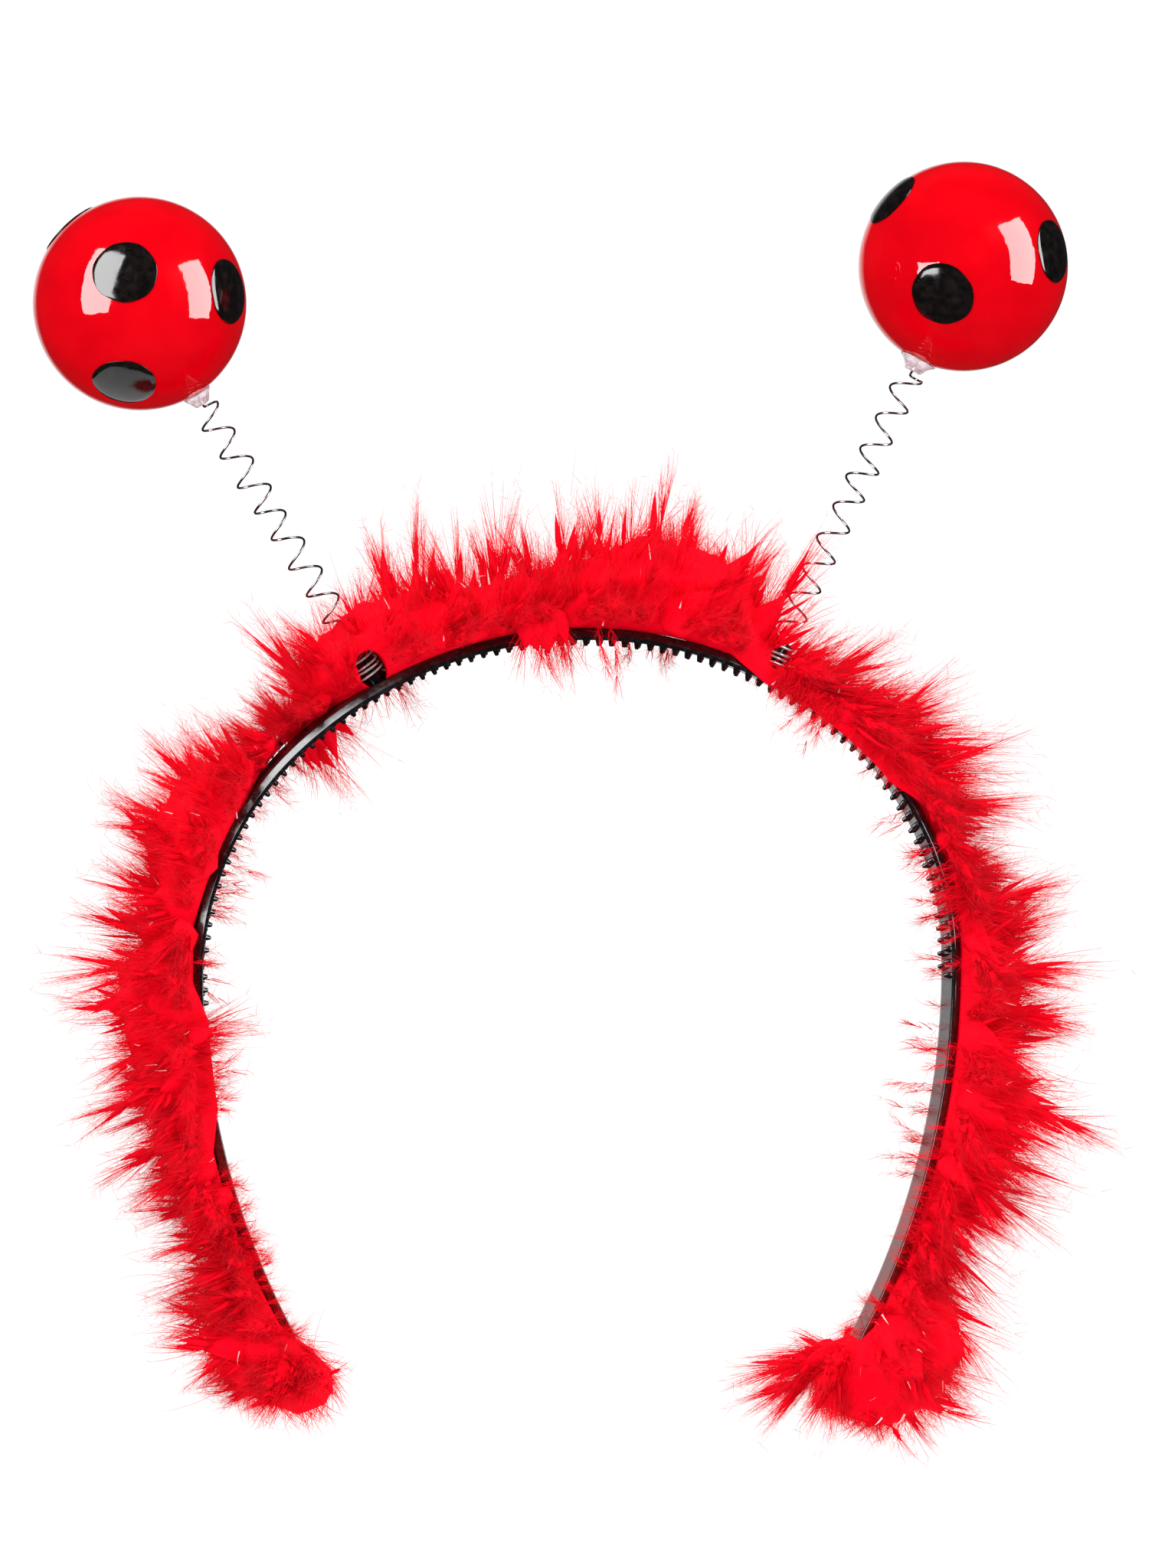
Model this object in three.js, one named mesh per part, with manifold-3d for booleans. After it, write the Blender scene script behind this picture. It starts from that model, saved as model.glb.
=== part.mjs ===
// Ladybug headband: a comb band with a feather trim and two dotted balls on coil springs.
// Millimetres, +Z up, the wearer's face towards -Y. The origin is the crown of the band's inner face.
import * as THREE from 'three';
import { mergeVertices } from 'three/addons/utils/BufferGeometryUtils.js';
import Module from 'manifold-3d';

// Band: each half is three tangent arcs, from the crown out to the widest point and in to the tip.
const CROWN_RADIUS = 80;
const CROWN_ANGLE = THREE.MathUtils.degToRad(42);
const SHOULDER_RADIUS = 57;
const LEG_RADIUS = 147;
const HALF_LENGTH = 188;
const BAND_WIDTH = { crown: 11, tip: 8.5 };
const BAND_THICKNESS = { crown: 2.2, tip: 1.5 };
const BAND_CHAMFER = 0.45;
const BAND_STEP = 6.5;
const TIP_ROUND = 4;

// Comb teeth, in two staggered rows on the inner face.
const TOOTH_PITCH = 2.5;
const TOOTH_ROWS = [-2.4, 2.4];
const TOOTH_RADIUS = 0.75;
const TOOTH_HEIGHT = 1.05;
const TOOTH_SIDES = 5;
const TOOTHED_HALF = 110;
const ROOT_SINK = 0.3;

// Antennae: where each stands along the band, how it leans, how far off its ball is,
// and the radius of the parting in the feathers in front of its stud.
const ANTENNAE = {
  left: { along: -38, lean: -31, ballAt: 84.2, window: 4.4 },
  right: { along: 38.5, lean: 27.5, ballAt: 86, window: 2.6 },
};
const STUD_RADIUS = 2;
const STUD_HEIGHT = 6.2;
const STUD_SINK = 1.2;

// Spring wire and coil.
const WIRE_RADIUS = 0.22;
const WIRE_SIDES = 5;
const COIL_RADIUS = 2.56;
const GRIP_TURNS = 4;
const GRIP_START = 1;
const GRIP_END = 5.6;
const OPEN_TURNS = 9;
const GRIP_STEPS = 8;
const OPEN_STEPS = 10;
const TAIL_LENGTH = 4.6;

// Balls, their dots and the glue under them.
const BALL_RADIUS = 20;
const BALL_WALL = 0.8;
const BALL_HOLE = 1;
const BALL_SIDES = 24;
const DOT_RADIUS = 6;
const DOT_THICKNESS = 0.35;
const DOT_GAP = 0.12;
const DOT_SIDES = 12;
const GLUE_HEIGHT = 2.3;
const GLUE_GAP = 0.25;
const GLUE_BORE = 0.55;

// Dot directions in degrees: turn from the front (-Y) towards +X, and height above the middle.
const DOTS = {
  left: [
    { turn: -16, height: 18 },
    { turn: 51, height: 6 },
    { turn: -22, height: -48 },
    { turn: -114, height: 47 },
    { turn: 125, height: 50 },
    { turn: -125, height: -22 },
    { turn: 135, height: -30 },
  ],
  right: [
    { turn: -26, height: -15 },
    { turn: 49, height: 8 },
    { turn: -82, height: 42 },
    { turn: 140, height: 45 },
    { turn: -150, height: 30 },
    { turn: 115, height: -35 },
    { turn: -138, height: -28 },
  ],
};

// Feather trim: tufts alternate with hollows along the band and round its outer side.
const TRIM_GAP = 0.3;
const TRIM_STEP = 6.2;
const TRIM_MIDDLE = 3;
const TRIM_FOOT = 4.6;
const TUFT_ANGLES = 9;
const TUFT_SWEEP = 100;
const TUFT_SIDE_SHARE = 0.62;
const TUFT_LEAN = 3.2;
const TUFT_SHARE = { low: 0.78, high: 1.02 };
const HOLLOW_SHARE = { low: 0.5, high: 0.66 };
const TRIM_FOOT_GAP = 0.45;
const TRIM_CLEARANCE = 3.5;

// The trim's ends close round the tips: how far past the tip, the share of the reach, how far inside.
const TRIM_END = [
  { past: -16, size: 0.95, inside: 0 },
  { past: -9, size: 0.95, inside: 4 },
  { past: -2, size: 0.88, inside: 6 },
  { past: 4, size: 0.62, inside: 5 },
];
const TRIM_END_POINT = 11;

// How far the tufts stand out from the band, along it from the left tip to the right tip.
const TUFT_REACH = [
  { along: -188, reach: 22 },
  { along: -172, reach: 24 },
  { along: -155, reach: 18 },
  { along: -138, reach: 23 },
  { along: -108, reach: 25 },
  { along: -84, reach: 23 },
  { along: -70, reach: 24 },
  { along: -58, reach: 17 },
  { along: -40, reach: 28 },
  { along: -12, reach: 23 },
  { along: 10, reach: 28 },
  { along: 36, reach: 27 },
  { along: 50, reach: 17 },
  { along: 64, reach: 21 },
  { along: 86, reach: 18 },
  { along: 112, reach: 25 },
  { along: 128, reach: 24 },
  { along: 141, reach: 32 },
  { along: 158, reach: 21 },
  { along: 176, reach: 27 },
  { along: 188, reach: 25 },
];

const BLACK_PLASTIC = new THREE.MeshStandardMaterial({ color: 0x121214, roughness: 0.22, metalness: 0 });
const RED_PLASTIC = new THREE.MeshStandardMaterial({ color: 0xd4121c, roughness: 0.12, metalness: 0 });
const BLACK_INK = new THREE.MeshStandardMaterial({ color: 0x0b0b0c, roughness: 0.3, metalness: 0 });
const STEEL_WIRE = new THREE.MeshStandardMaterial({ color: 0xb9bcc0, roughness: 0.25, metalness: 1 });
const CLEAR_GLUE = new THREE.MeshStandardMaterial({ color: 0xe9e4dc, roughness: 0.35, metalness: 0 });
const RED_DOWN = new THREE.MeshStandardMaterial({ color: 0xe0101c, roughness: 0.95, metalness: 0 });

const wasm = await Module();
wasm.setup();

const lerp = THREE.MathUtils.lerp;
const degToRad = THREE.MathUtils.degToRad;

// A point of the band's inner face, at a signed length from the crown, with its outward normal and tangent.
function bandAt(along) {
  const side = along < 0 ? -1 : 1;
  const length = Math.abs(along);
  const crown = CROWN_RADIUS * CROWN_ANGLE;
  const shoulder = SHOULDER_RADIUS * (Math.PI / 2 - CROWN_ANGLE);
  const drop = (CROWN_RADIUS - SHOULDER_RADIUS) * Math.sin(CROWN_ANGLE);
  const rise = -CROWN_RADIUS + (CROWN_RADIUS - SHOULDER_RADIUS) * Math.cos(CROWN_ANGLE);
  let angle = length / CROWN_RADIUS;
  let radius = CROWN_RADIUS;
  let centre = new THREE.Vector2(0, -CROWN_RADIUS);
  if (length > crown + shoulder) {
    angle = Math.PI / 2 + (length - crown - shoulder) / LEG_RADIUS;
    radius = LEG_RADIUS;
    centre = new THREE.Vector2(drop + SHOULDER_RADIUS - LEG_RADIUS, rise);
  } else if (length > crown) {
    angle = CROWN_ANGLE + (length - crown) / SHOULDER_RADIUS;
    radius = SHOULDER_RADIUS;
    centre = new THREE.Vector2(drop, rise);
  }
  const x = centre.x + radius * Math.sin(angle);
  const z = centre.y + radius * Math.cos(angle);
  return {
    point: new THREE.Vector3(side * x, 0, z),
    normal: new THREE.Vector3(side * Math.sin(angle), 0, Math.cos(angle)),
    tangent: new THREE.Vector3(Math.cos(angle), 0, -side * Math.sin(angle)),
  };
}

// A place given by its length along the band, its height off the inner face and its Y.
function place(along, out, across) {
  const { point, normal } = bandAt(along);
  return point.clone().addScaledVector(normal, out).add(new THREE.Vector3(0, across, 0));
}

function bandSize(sizes, along) {
  return lerp(sizes.crown, sizes.tip, Math.abs(along) / HALF_LENGTH);
}

// Evenly spaced values from first to last, both included.
function spaced(first, last, step) {
  const count = Math.ceil((last - first) / step);
  return Array.from({ length: count + 1 }, (_, i) => lerp(first, last, i / count));
}

// A closed solid through rings of equal length; a ring of one point makes a pointed end.
// Each four-sided face is split along its shorter diagonal.
function loft(rings) {
  const positions = [];
  const index = [];
  const starts = [];
  for (const ring of rings) {
    starts.push(positions.length / 3);
    ring.forEach((p) => positions.push(p.x, p.y, p.z));
  }
  const cap = (ring, start, flip) => {
    for (let i = 1; i + 1 < ring.length; i += 1) {
      const [b, c] = flip ? [i + 1, i] : [i, i + 1];
      index.push(start, start + b, start + c);
    }
  };
  for (let r = 0; r + 1 < rings.length; r += 1) {
    const [lower, upper] = [rings[r], rings[r + 1]];
    const sides = Math.max(lower.length, upper.length);
    for (let i = 0; i < sides; i += 1) {
      const j = (i + 1) % sides;
      const low = (k) => starts[r] + (lower.length === 1 ? 0 : k);
      const high = (k) => starts[r + 1] + (upper.length === 1 ? 0 : k);
      if (lower.length === 1) {
        index.push(low(i), high(j), high(i));
      } else if (upper.length === 1) {
        index.push(low(i), low(j), high(i));
      } else if (lower[i].distanceTo(upper[j]) < lower[j].distanceTo(upper[i])) {
        index.push(low(i), low(j), high(j), low(i), high(j), high(i));
      } else {
        index.push(low(i), low(j), high(i), low(j), high(j), high(i));
      }
    }
  }
  cap(rings[0], starts[0], true);
  cap(rings[rings.length - 1], starts[starts.length - 1], false);
  const geometry = new THREE.BufferGeometry();
  geometry.setAttribute('position', new THREE.Float32BufferAttribute(positions, 3));
  geometry.setIndex(index);
  return outward(geometry);
}

// The geometry with shared corners, no collapsed triangles, and its faces turned out.
function outward(source) {
  const bare = source.clone();
  bare.deleteAttribute('normal');
  bare.deleteAttribute('uv');
  const geometry = mergeVertices(bare, 1e-4);
  const p = geometry.attributes.position;
  const old = geometry.index.array;
  const corner = (i) => new THREE.Vector3().fromBufferAttribute(p, i);
  const kept = [];
  let volume = 0;
  for (let t = 0; t < old.length; t += 3) {
    const [a, b, c] = [old[t], old[t + 1], old[t + 2]];
    if (a !== b && b !== c && c !== a) {
      kept.push(a, b, c);
      volume += corner(a).dot(corner(b).cross(corner(c)));
    }
  }
  if (volume < 0) {
    for (let t = 0; t < kept.length; t += 3) {
      [kept[t + 1], kept[t + 2]] = [kept[t + 2], kept[t + 1]];
    }
  }
  geometry.setIndex(kept);
  return geometry;
}

function toManifold(geometry) {
  return new wasm.Manifold(new wasm.Mesh({
    numProp: 3,
    vertProperties: new Float32Array(geometry.attributes.position.array),
    triVerts: new Uint32Array(geometry.index.array),
  }));
}

function fromManifold(manifold) {
  const mesh = manifold.getMesh();
  const geometry = new THREE.BufferGeometry();
  geometry.setAttribute('position', new THREE.Float32BufferAttribute(mesh.vertProperties, 3));
  geometry.setIndex(Array.from(mesh.triVerts));
  return geometry;
}

function lathe(profile, sides) {
  const points = profile.map(([radius, height]) => new THREE.Vector2(radius, height));
  const geometry = new THREE.LatheGeometry(points, sides);
  geometry.rotateX(Math.PI / 2);
  return outward(geometry);
}

function mesh(name, geometry, material) {
  const made = new THREE.Mesh(geometry.index ? geometry.toNonIndexed() : geometry, material);
  made.geometry.computeVertexNormals();
  made.name = name;
  return made;
}

// The place and turn of an antenna: its foot on the outer face, local +Z along its spring.
function antennaFrame({ along, lean }) {
  const foot = place(along, bandSize(BAND_THICKNESS, along), 0);
  const turn = new THREE.Quaternion().setFromAxisAngle(new THREE.Vector3(0, 1, 0), degToRad(lean));
  return new THREE.Matrix4().compose(foot, turn, new THREE.Vector3(1, 1, 1));
}

// One section of the band, grown on every side by an allowance.
function bandSection(along, grow, narrow) {
  const half = (bandSize(BAND_WIDTH, along) / 2) * narrow + grow;
  const top = bandSize(BAND_THICKNESS, along) + grow;
  const cut = Math.min(BAND_CHAMFER, half * 0.6);
  return [
    place(along, -grow, -half + cut),
    place(along, -grow + BAND_CHAMFER, -half),
    place(along, top - BAND_CHAMFER, -half),
    place(along, top, -half + cut),
    place(along, top, half - cut),
    place(along, top - BAND_CHAMFER, half),
    place(along, -grow + BAND_CHAMFER, half),
    place(along, -grow, half - cut),
  ];
}

function bandStrip(grow) {
  const end = HALF_LENGTH + grow;
  const straight = end - TIP_ROUND;
  const rounded = [0.5, 0.85, 1];
  const narrowAt = (u) => Math.max(Math.sqrt(1 - u * u), 0.25);
  const left = rounded.map((u) => bandSection(-straight - TIP_ROUND * u, grow, narrowAt(u))).reverse();
  const middle = spaced(-straight, straight, BAND_STEP).map((along) => bandSection(along, grow, 1));
  const right = rounded.map((u) => bandSection(straight + TIP_ROUND * u, grow, narrowAt(u)));
  return toManifold(loft([...left, ...middle, ...right]));
}

function tooth(along, across) {
  const { tangent } = bandAt(along);
  const root = place(along, ROOT_SINK, across);
  const ring = Array.from({ length: TOOTH_SIDES }, (_, i) => {
    const angle = (2 * Math.PI * i) / TOOTH_SIDES;
    return root.clone()
      .addScaledVector(tangent, TOOTH_RADIUS * Math.cos(angle))
      .add(new THREE.Vector3(0, TOOTH_RADIUS * Math.sin(angle), 0));
  });
  return toManifold(loft([ring, [place(along, -TOOTH_HEIGHT, across)]]));
}

function stud(antenna) {
  const rim = STUD_RADIUS - 0.5;
  const profile = [
    [0, -STUD_SINK],
    [STUD_RADIUS, -STUD_SINK],
    [STUD_RADIUS, STUD_HEIGHT - 0.5],
    [rim, STUD_HEIGHT],
    [0, STUD_HEIGHT],
  ];
  return toManifold(lathe(profile, 12).applyMatrix4(antennaFrame(antenna)));
}

function bandSolid() {
  const pieces = [bandStrip(0)];
  TOOTH_ROWS.forEach((across, row) => {
    const shift = row * TOOTH_PITCH * 0.5;
    for (let along = -TOOTHED_HALF + shift; along <= TOOTHED_HALF; along += TOOTH_PITCH) {
      pieces.push(tooth(along, across));
    }
  });
  Object.values(ANTENNAE).forEach((antenna) => pieces.push(stud(antenna)));
  return fromManifold(wasm.Manifold.union(pieces));
}

// The reach of the tufts at a length along the band, between the rows of the table.
function tuftReach(along) {
  const after = TUFT_REACH.findIndex((row) => row.along >= along);
  if (after <= 0) {
    return TUFT_REACH[after < 0 ? TUFT_REACH.length - 1 : 0].reach;
  }
  const [a, b] = [TUFT_REACH[after - 1], TUFT_REACH[after]];
  return lerp(a.reach, b.reach, (along - a.along) / (b.along - a.along));
}

// A value from 0 to 1 that looks random but is the same on every run.
function scatter(i, j) {
  const wave = Math.sin(i * 12.9898 + j * 78.233) * 43758.5453;
  return wave - Math.floor(wave);
}

// One ring of the trim: a foot on the band, then tufts and hollows round its outer side.
function trimRing(along, number, size, inside) {
  const base = bandSize(BAND_THICKNESS, along) + TRIM_FOOT_GAP - inside;
  const reach = tuftReach(along) * size;
  const ring = [place(along, base, TRIM_FOOT)];
  ring.push(place(along, base, -TRIM_FOOT));
  for (let j = 0; j < TUFT_ANGLES; j += 1) {
    const turn = lerp(-TUFT_SWEEP, TUFT_SWEEP, j / (TUFT_ANGLES - 1));
    const side = lerp(1, TUFT_SIDE_SHARE, (Math.abs(turn) / TUFT_SWEEP) ** 1.5);
    const tuft = (number + j) % 2 === 0;
    const share = tuft ? TUFT_SHARE : HOLLOW_SHARE;
    const radius = reach * side * lerp(share.low, share.high, scatter(number, j));
    const lean = tuft ? TUFT_LEAN * (2 * scatter(j, number + 7) - 1) : 0;
    const out = TRIM_MIDDLE - inside * 0.4 + radius * Math.cos(degToRad(turn));
    ring.push(place(along + lean, out, radius * Math.sin(degToRad(turn))));
  }
  return ring;
}

function trimSolid() {
  const first = -HALF_LENGTH - TRIM_END[0].past;
  const middle = spaced(first + TRIM_STEP, -first - TRIM_STEP, TRIM_STEP);
  const ends = (side) => TRIM_END.map(({ past, size, inside }, i) => (
    trimRing(side * (HALF_LENGTH + past), middle.length + (side < 0 ? -1 - i : i), size, inside)
  ));
  const point = (side) => [place(side * (HALF_LENGTH + TRIM_END_POINT), TRIM_MIDDLE, 0)];
  const body = loft([
    point(-1),
    ...ends(-1).reverse(),
    ...middle.map((along, i) => trimRing(along, middle.length + i, 1, 0)),
    ...ends(1),
    point(1),
  ]);
  const clear = [bandStrip(TRIM_GAP)];
  Object.values(ANTENNAE).forEach((antenna) => {
    const frame = antennaFrame(antenna);
    const bore = lathe([[0, -3], [TRIM_CLEARANCE, -3], [TRIM_CLEARANCE, 45], [0, 45]], 10);
    clear.push(toManifold(bore.applyMatrix4(frame)));
    const window = lathe([[0, 0], [antenna.window, 0], [antenna.window, 40], [0, 40]], 10);
    window.rotateX(Math.PI / 2).translate(0, 0, STUD_HEIGHT * 0.7);
    clear.push(toManifold(outward(window).applyMatrix4(frame)));
  });
  const whole = toManifold(body).subtract(wasm.Manifold.union(clear));
  const parts = whole.decompose().sort((a, b) => b.volume() - a.volume());
  return fromManifold(parts[0]);
}

// The spring's centre line in its antenna's frame: grip on the stud, open coil, then a tail up the axis.
function springPath(ballAt) {
  const top = ballAt - BALL_RADIUS - GLUE_HEIGHT - 1;
  const path = [];
  const coil = (turns, steps, from, to, first) => {
    for (let i = first; i <= turns * steps; i += 1) {
      const angle = (2 * Math.PI * i) / steps;
      const height = lerp(from, to, i / (turns * steps));
      path.push(new THREE.Vector3(COIL_RADIUS * Math.cos(angle), COIL_RADIUS * Math.sin(angle), height));
    }
  };
  coil(GRIP_TURNS, GRIP_STEPS, GRIP_START, GRIP_END, 0);
  coil(OPEN_TURNS, OPEN_STEPS, GRIP_END, top, 1);
  path.push(new THREE.Vector3(COIL_RADIUS * 0.62, COIL_RADIUS * 0.5, top + 0.15));
  path.push(new THREE.Vector3(COIL_RADIUS * 0.16, COIL_RADIUS * 0.3, top + 0.3));
  path.push(new THREE.Vector3(0, 0, top + 0.75));
  path.push(new THREE.Vector3(0, 0, top + TAIL_LENGTH));
  return path;
}

// A round wire along a path of points.
function wire(path) {
  const up = new THREE.Vector3(0, 0, 1);
  let side = null;
  const rings = path.map((point, i) => {
    const ahead = path[Math.min(i + 1, path.length - 1)];
    const behind = path[Math.max(i - 1, 0)];
    const tangent = ahead.clone().sub(behind).normalize();
    const start = side ?? up;
    side = start.clone().addScaledVector(tangent, -start.dot(tangent)).normalize();
    const other = tangent.clone().cross(side);
    return Array.from({ length: WIRE_SIDES }, (_, k) => {
      const angle = (2 * Math.PI * k) / WIRE_SIDES;
      return point.clone()
        .addScaledVector(side, WIRE_RADIUS * Math.cos(angle))
        .addScaledVector(other, WIRE_RADIUS * Math.sin(angle));
    });
  });
  return loft(rings);
}

// The ball about its own centre, its hole at the bottom of its axis.
function ballShell() {
  const arc = (radius, steps) => {
    const last = Math.PI - Math.asin(BALL_HOLE / radius);
    return Array.from({ length: steps + 1 }, (_, i) => {
      const angle = (last * i) / steps;
      return [i === 0 ? 0 : radius * Math.sin(angle), radius * Math.cos(angle)];
    });
  };
  const inside = arc(BALL_RADIUS - BALL_WALL, 7).reverse();
  return lathe([...arc(BALL_RADIUS, 12), ...inside], BALL_SIDES);
}

// A thin round dot bent to the ball, about the ball's centre, facing +Z.
function dotDisc() {
  const edge = Math.asin(DOT_RADIUS / BALL_RADIUS);
  const low = BALL_RADIUS + DOT_GAP;
  const high = low + DOT_THICKNESS;
  const at = (radius, share) => [radius * Math.sin(edge * share), radius * Math.cos(edge * share)];
  return lathe([[0, low], at(low, 0.55), at(low, 1), at(high, 0.99), at(high, 0.55), [0, high]], DOT_SIDES);
}

// The bead of glue in its antenna's frame, under a ball whose centre is at the given height.
function glueBead(ballAt) {
  const under = (radius) => ballAt - Math.sqrt(BALL_RADIUS ** 2 - radius ** 2) - GLUE_GAP;
  const foot = ballAt - BALL_RADIUS - GLUE_HEIGHT;
  const profile = [
    [GLUE_BORE, foot],
    [1.5, foot],
    [2.2, foot + GLUE_HEIGHT * 0.45],
    [3.2, under(3.2) - 0.35],
    [3.2, under(3.2)],
    [GLUE_BORE, under(GLUE_BORE)],
    [GLUE_BORE, foot],
  ];
  return lathe(profile, 12);
}

function antennaGroup(side) {
  const antenna = ANTENNAE[side];
  const group = new THREE.Group();
  group.name = `antenna_${side}`;
  antennaFrame(antenna).decompose(group.position, group.quaternion, group.scale);
  group.add(mesh(`spring_${side}`, wire(springPath(antenna.ballAt)), STEEL_WIRE));
  group.add(mesh(`glue_${side}`, glueBead(antenna.ballAt), CLEAR_GLUE));
  const head = new THREE.Group();
  head.position.set(0, 0, antenna.ballAt);
  head.add(mesh(`ball_${side}`, ballShell(), RED_PLASTIC));
  const dots = new THREE.Group();
  dots.quaternion.copy(group.quaternion).invert();
  DOTS[side].forEach(({ turn, height }, i) => {
    const dot = mesh(`dot_${side}_${i + 1}`, dotDisc(), BLACK_INK);
    const [t, h] = [degToRad(turn), degToRad(height)];
    const facing = new THREE.Vector3(Math.sin(t) * Math.cos(h), -Math.cos(t) * Math.cos(h), Math.sin(h));
    dot.quaternion.setFromUnitVectors(new THREE.Vector3(0, 0, 1), facing);
    dots.add(dot);
  });
  head.add(dots);
  group.add(head);
  return group;
}

const headband = new THREE.Group();
headband.name = 'ladybug_headband';
headband.add(mesh('band', bandSolid(), BLACK_PLASTIC));
headband.add(mesh('feather_trim', trimSolid(), RED_DOWN));
headband.add(antennaGroup('left'));
headband.add(antennaGroup('right'));

export default headband;
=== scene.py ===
"""Ladybug headband: a comb band, a marabou trim and two dotted balls on coil springs.

Sizes in the classes are millimetres, as on a workshop drawing; meshes are in metres, in the frame of the CAD
part: +Z up, the wearer's face towards -Y, the origin at the crown of the band's inner face.
"""

from __future__ import annotations

import logging
import math
from collections.abc import Callable, Iterator
from contextlib import contextmanager
from dataclasses import dataclass, field, replace
from enum import Enum
from typing import Self

import bpy
import numpy as np
from bpy.types import Material, Node, NodeSocket, NodeTree, Object
from mathutils import Matrix, Vector, noise

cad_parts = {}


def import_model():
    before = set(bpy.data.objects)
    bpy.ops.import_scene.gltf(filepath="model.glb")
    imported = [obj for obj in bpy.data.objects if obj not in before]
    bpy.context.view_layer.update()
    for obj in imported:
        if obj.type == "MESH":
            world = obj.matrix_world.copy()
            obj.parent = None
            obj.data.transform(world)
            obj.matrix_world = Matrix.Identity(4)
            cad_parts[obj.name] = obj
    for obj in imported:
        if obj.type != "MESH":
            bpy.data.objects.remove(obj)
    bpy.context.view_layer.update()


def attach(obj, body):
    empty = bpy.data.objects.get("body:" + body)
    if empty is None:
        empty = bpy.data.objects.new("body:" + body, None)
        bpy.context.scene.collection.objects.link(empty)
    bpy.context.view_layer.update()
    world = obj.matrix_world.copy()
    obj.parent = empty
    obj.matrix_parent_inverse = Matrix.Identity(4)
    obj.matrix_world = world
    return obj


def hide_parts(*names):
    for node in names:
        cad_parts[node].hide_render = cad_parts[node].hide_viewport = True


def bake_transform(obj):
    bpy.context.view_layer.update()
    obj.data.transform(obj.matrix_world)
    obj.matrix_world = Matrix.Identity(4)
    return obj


Array = np.ndarray
Pair = tuple[float, float]
LOG = logging.getLogger("ladybug_headband")
MM = 0.001
PHOTO_HEIGHT = 2048
SENSOR_HEIGHT = 36.0
# Edges that turn by more than this are rounded by a bevel.
SHARP = math.radians(50)
# Where barbs end on the colour ramp of the down. The coat lies in its middle; bare quills go on to its end.
TIP_SHARE = 0.75
COAT_SHARES = (0.3, 0.5)
QUILL_SHARES = (1.25, 1.33)


class Side(Enum):
    """The two antennae, as seen from the front."""

    LEFT = "left"
    RIGHT = "right"


class Body(Enum):
    """What a piece moves with: the headband, a spring or a ball."""

    HEADBAND = "headband"
    SPRING = "{}_spring"
    BALL = "{}_ball"

    def of(self, side: Side) -> str:
        """The name of this body on one side."""
        return self.value.format(side.value)


def linear(colour: str) -> tuple[float, float, float, float]:
    """Turns an sRGB hex colour into linear RGBA.

    Args:
        colour: A colour such as "#c80012".

    Returns:
        Linear red, green, blue and an alpha of 1.
    """
    parts = [int(colour[i : i + 2], 16) / 255 for i in (1, 3, 5)]
    rgb = [c / 12.92 if c <= 0.04045 else ((c + 0.055) / 1.055) ** 2.4 for c in parts]
    return (*rgb, 1.0)


def add_node(tree: NodeTree, kind: str, inputs: dict | None = None, **settings: object) -> Node:
    """Adds a node with its settings, values and links.

    Args:
        tree: The node tree.
        kind: The node's type name.
        inputs: Values or output sockets, by input name or number.
        settings: The node's own properties; "ramp" gives a colour ramp's stops as (position, hex colour).

    Returns:
        The node.
    """
    node = tree.nodes.new(kind)
    ramp = settings.pop("ramp", None)
    for key, value in settings.items():
        setattr(node, key, value)
    for key, value in (inputs or {}).items():
        if isinstance(value, NodeSocket):
            tree.links.new(value, node.inputs[key])
        else:
            node.inputs[key].default_value = value
    if ramp:
        stops = node.color_ramp.elements
        while len(stops) < len(ramp):
            stops.new(0.5)
        for stop, (position, colour) in zip(stops, ramp):
            stop.position = position
            stop.color = linear(colour)
    return node


def per_metre(size_mm: float) -> float:
    """The texture scale that makes a pattern's features about this many millimetres wide."""
    return 1.0 / (size_mm * MM)


def new_shader(name: str) -> tuple[Material, NodeTree, Node]:
    """Starts a material.

    Args:
        name: The material's name.

    Returns:
        The material, its node tree and its Principled shader.
    """
    material = bpy.data.materials.new(name)
    material.use_nodes = True
    tree = material.node_tree
    return material, tree, tree.nodes["Principled BSDF"]


@dataclass
class Surface:
    """A material in the making, with the place and the grain that its patterns read."""

    material: Material
    tree: NodeTree
    shader: Node
    where: NodeSocket
    grain: NodeSocket

    def raised(self, height: NodeSocket, relief: Pair) -> Material:
        """Lets a height pattern ripple the surface.

        Args:
            height: The pattern.
            relief: How much of it shows, and how high it stands in millimetres.

        Returns:
            The finished material.
        """
        strength, depth = relief
        bump = add_node(
            self.tree, "ShaderNodeBump", {"Height": height, "Strength": strength, "Distance": depth * MM}
        )
        self.tree.links.new(bump.outputs["Normal"], self.shader.inputs["Normal"])
        return self.material


def grained(
    name: str,
    grain: Pair,
    stops: list[tuple[float, str]],
    values: Pair,
    roughness: Pair,
) -> Surface:
    """Starts a material whose colour and roughness follow one random grain.

    Args:
        name: The material's name.
        grain: How wide the grain's features are in millimetres, and how finely they are broken up.
        stops: The colours that it runs through, as (grain value, hex colour).
        values: The grain values where the roughness starts and ends to rise.
        roughness: The roughness at them.

    Returns:
        The material with its colour and roughness linked.
    """
    material, tree, shader = new_shader(name)
    where = add_node(tree, "ShaderNodeTexCoord").outputs["Object"]
    size_mm, detail = grain
    pattern = add_node(
        tree, "ShaderNodeTexNoise", {"Vector": where, "Scale": per_metre(size_mm), "Detail": detail}
    ).outputs["Fac"]
    tint = add_node(tree, "ShaderNodeValToRGB", {"Fac": pattern}, ramp=stops)
    rough = add_node(
        tree,
        "ShaderNodeMapRange",
        {
            "Value": pattern,
            "From Min": values[0],
            "From Max": values[1],
            "To Min": roughness[0],
            "To Max": roughness[1],
        },
    )
    tree.links.new(tint.outputs["Color"], shader.inputs["Base Color"])
    tree.links.new(rough.outputs["Result"], shader.inputs["Roughness"])
    return Surface(material, tree, shader, where, pattern)


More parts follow.
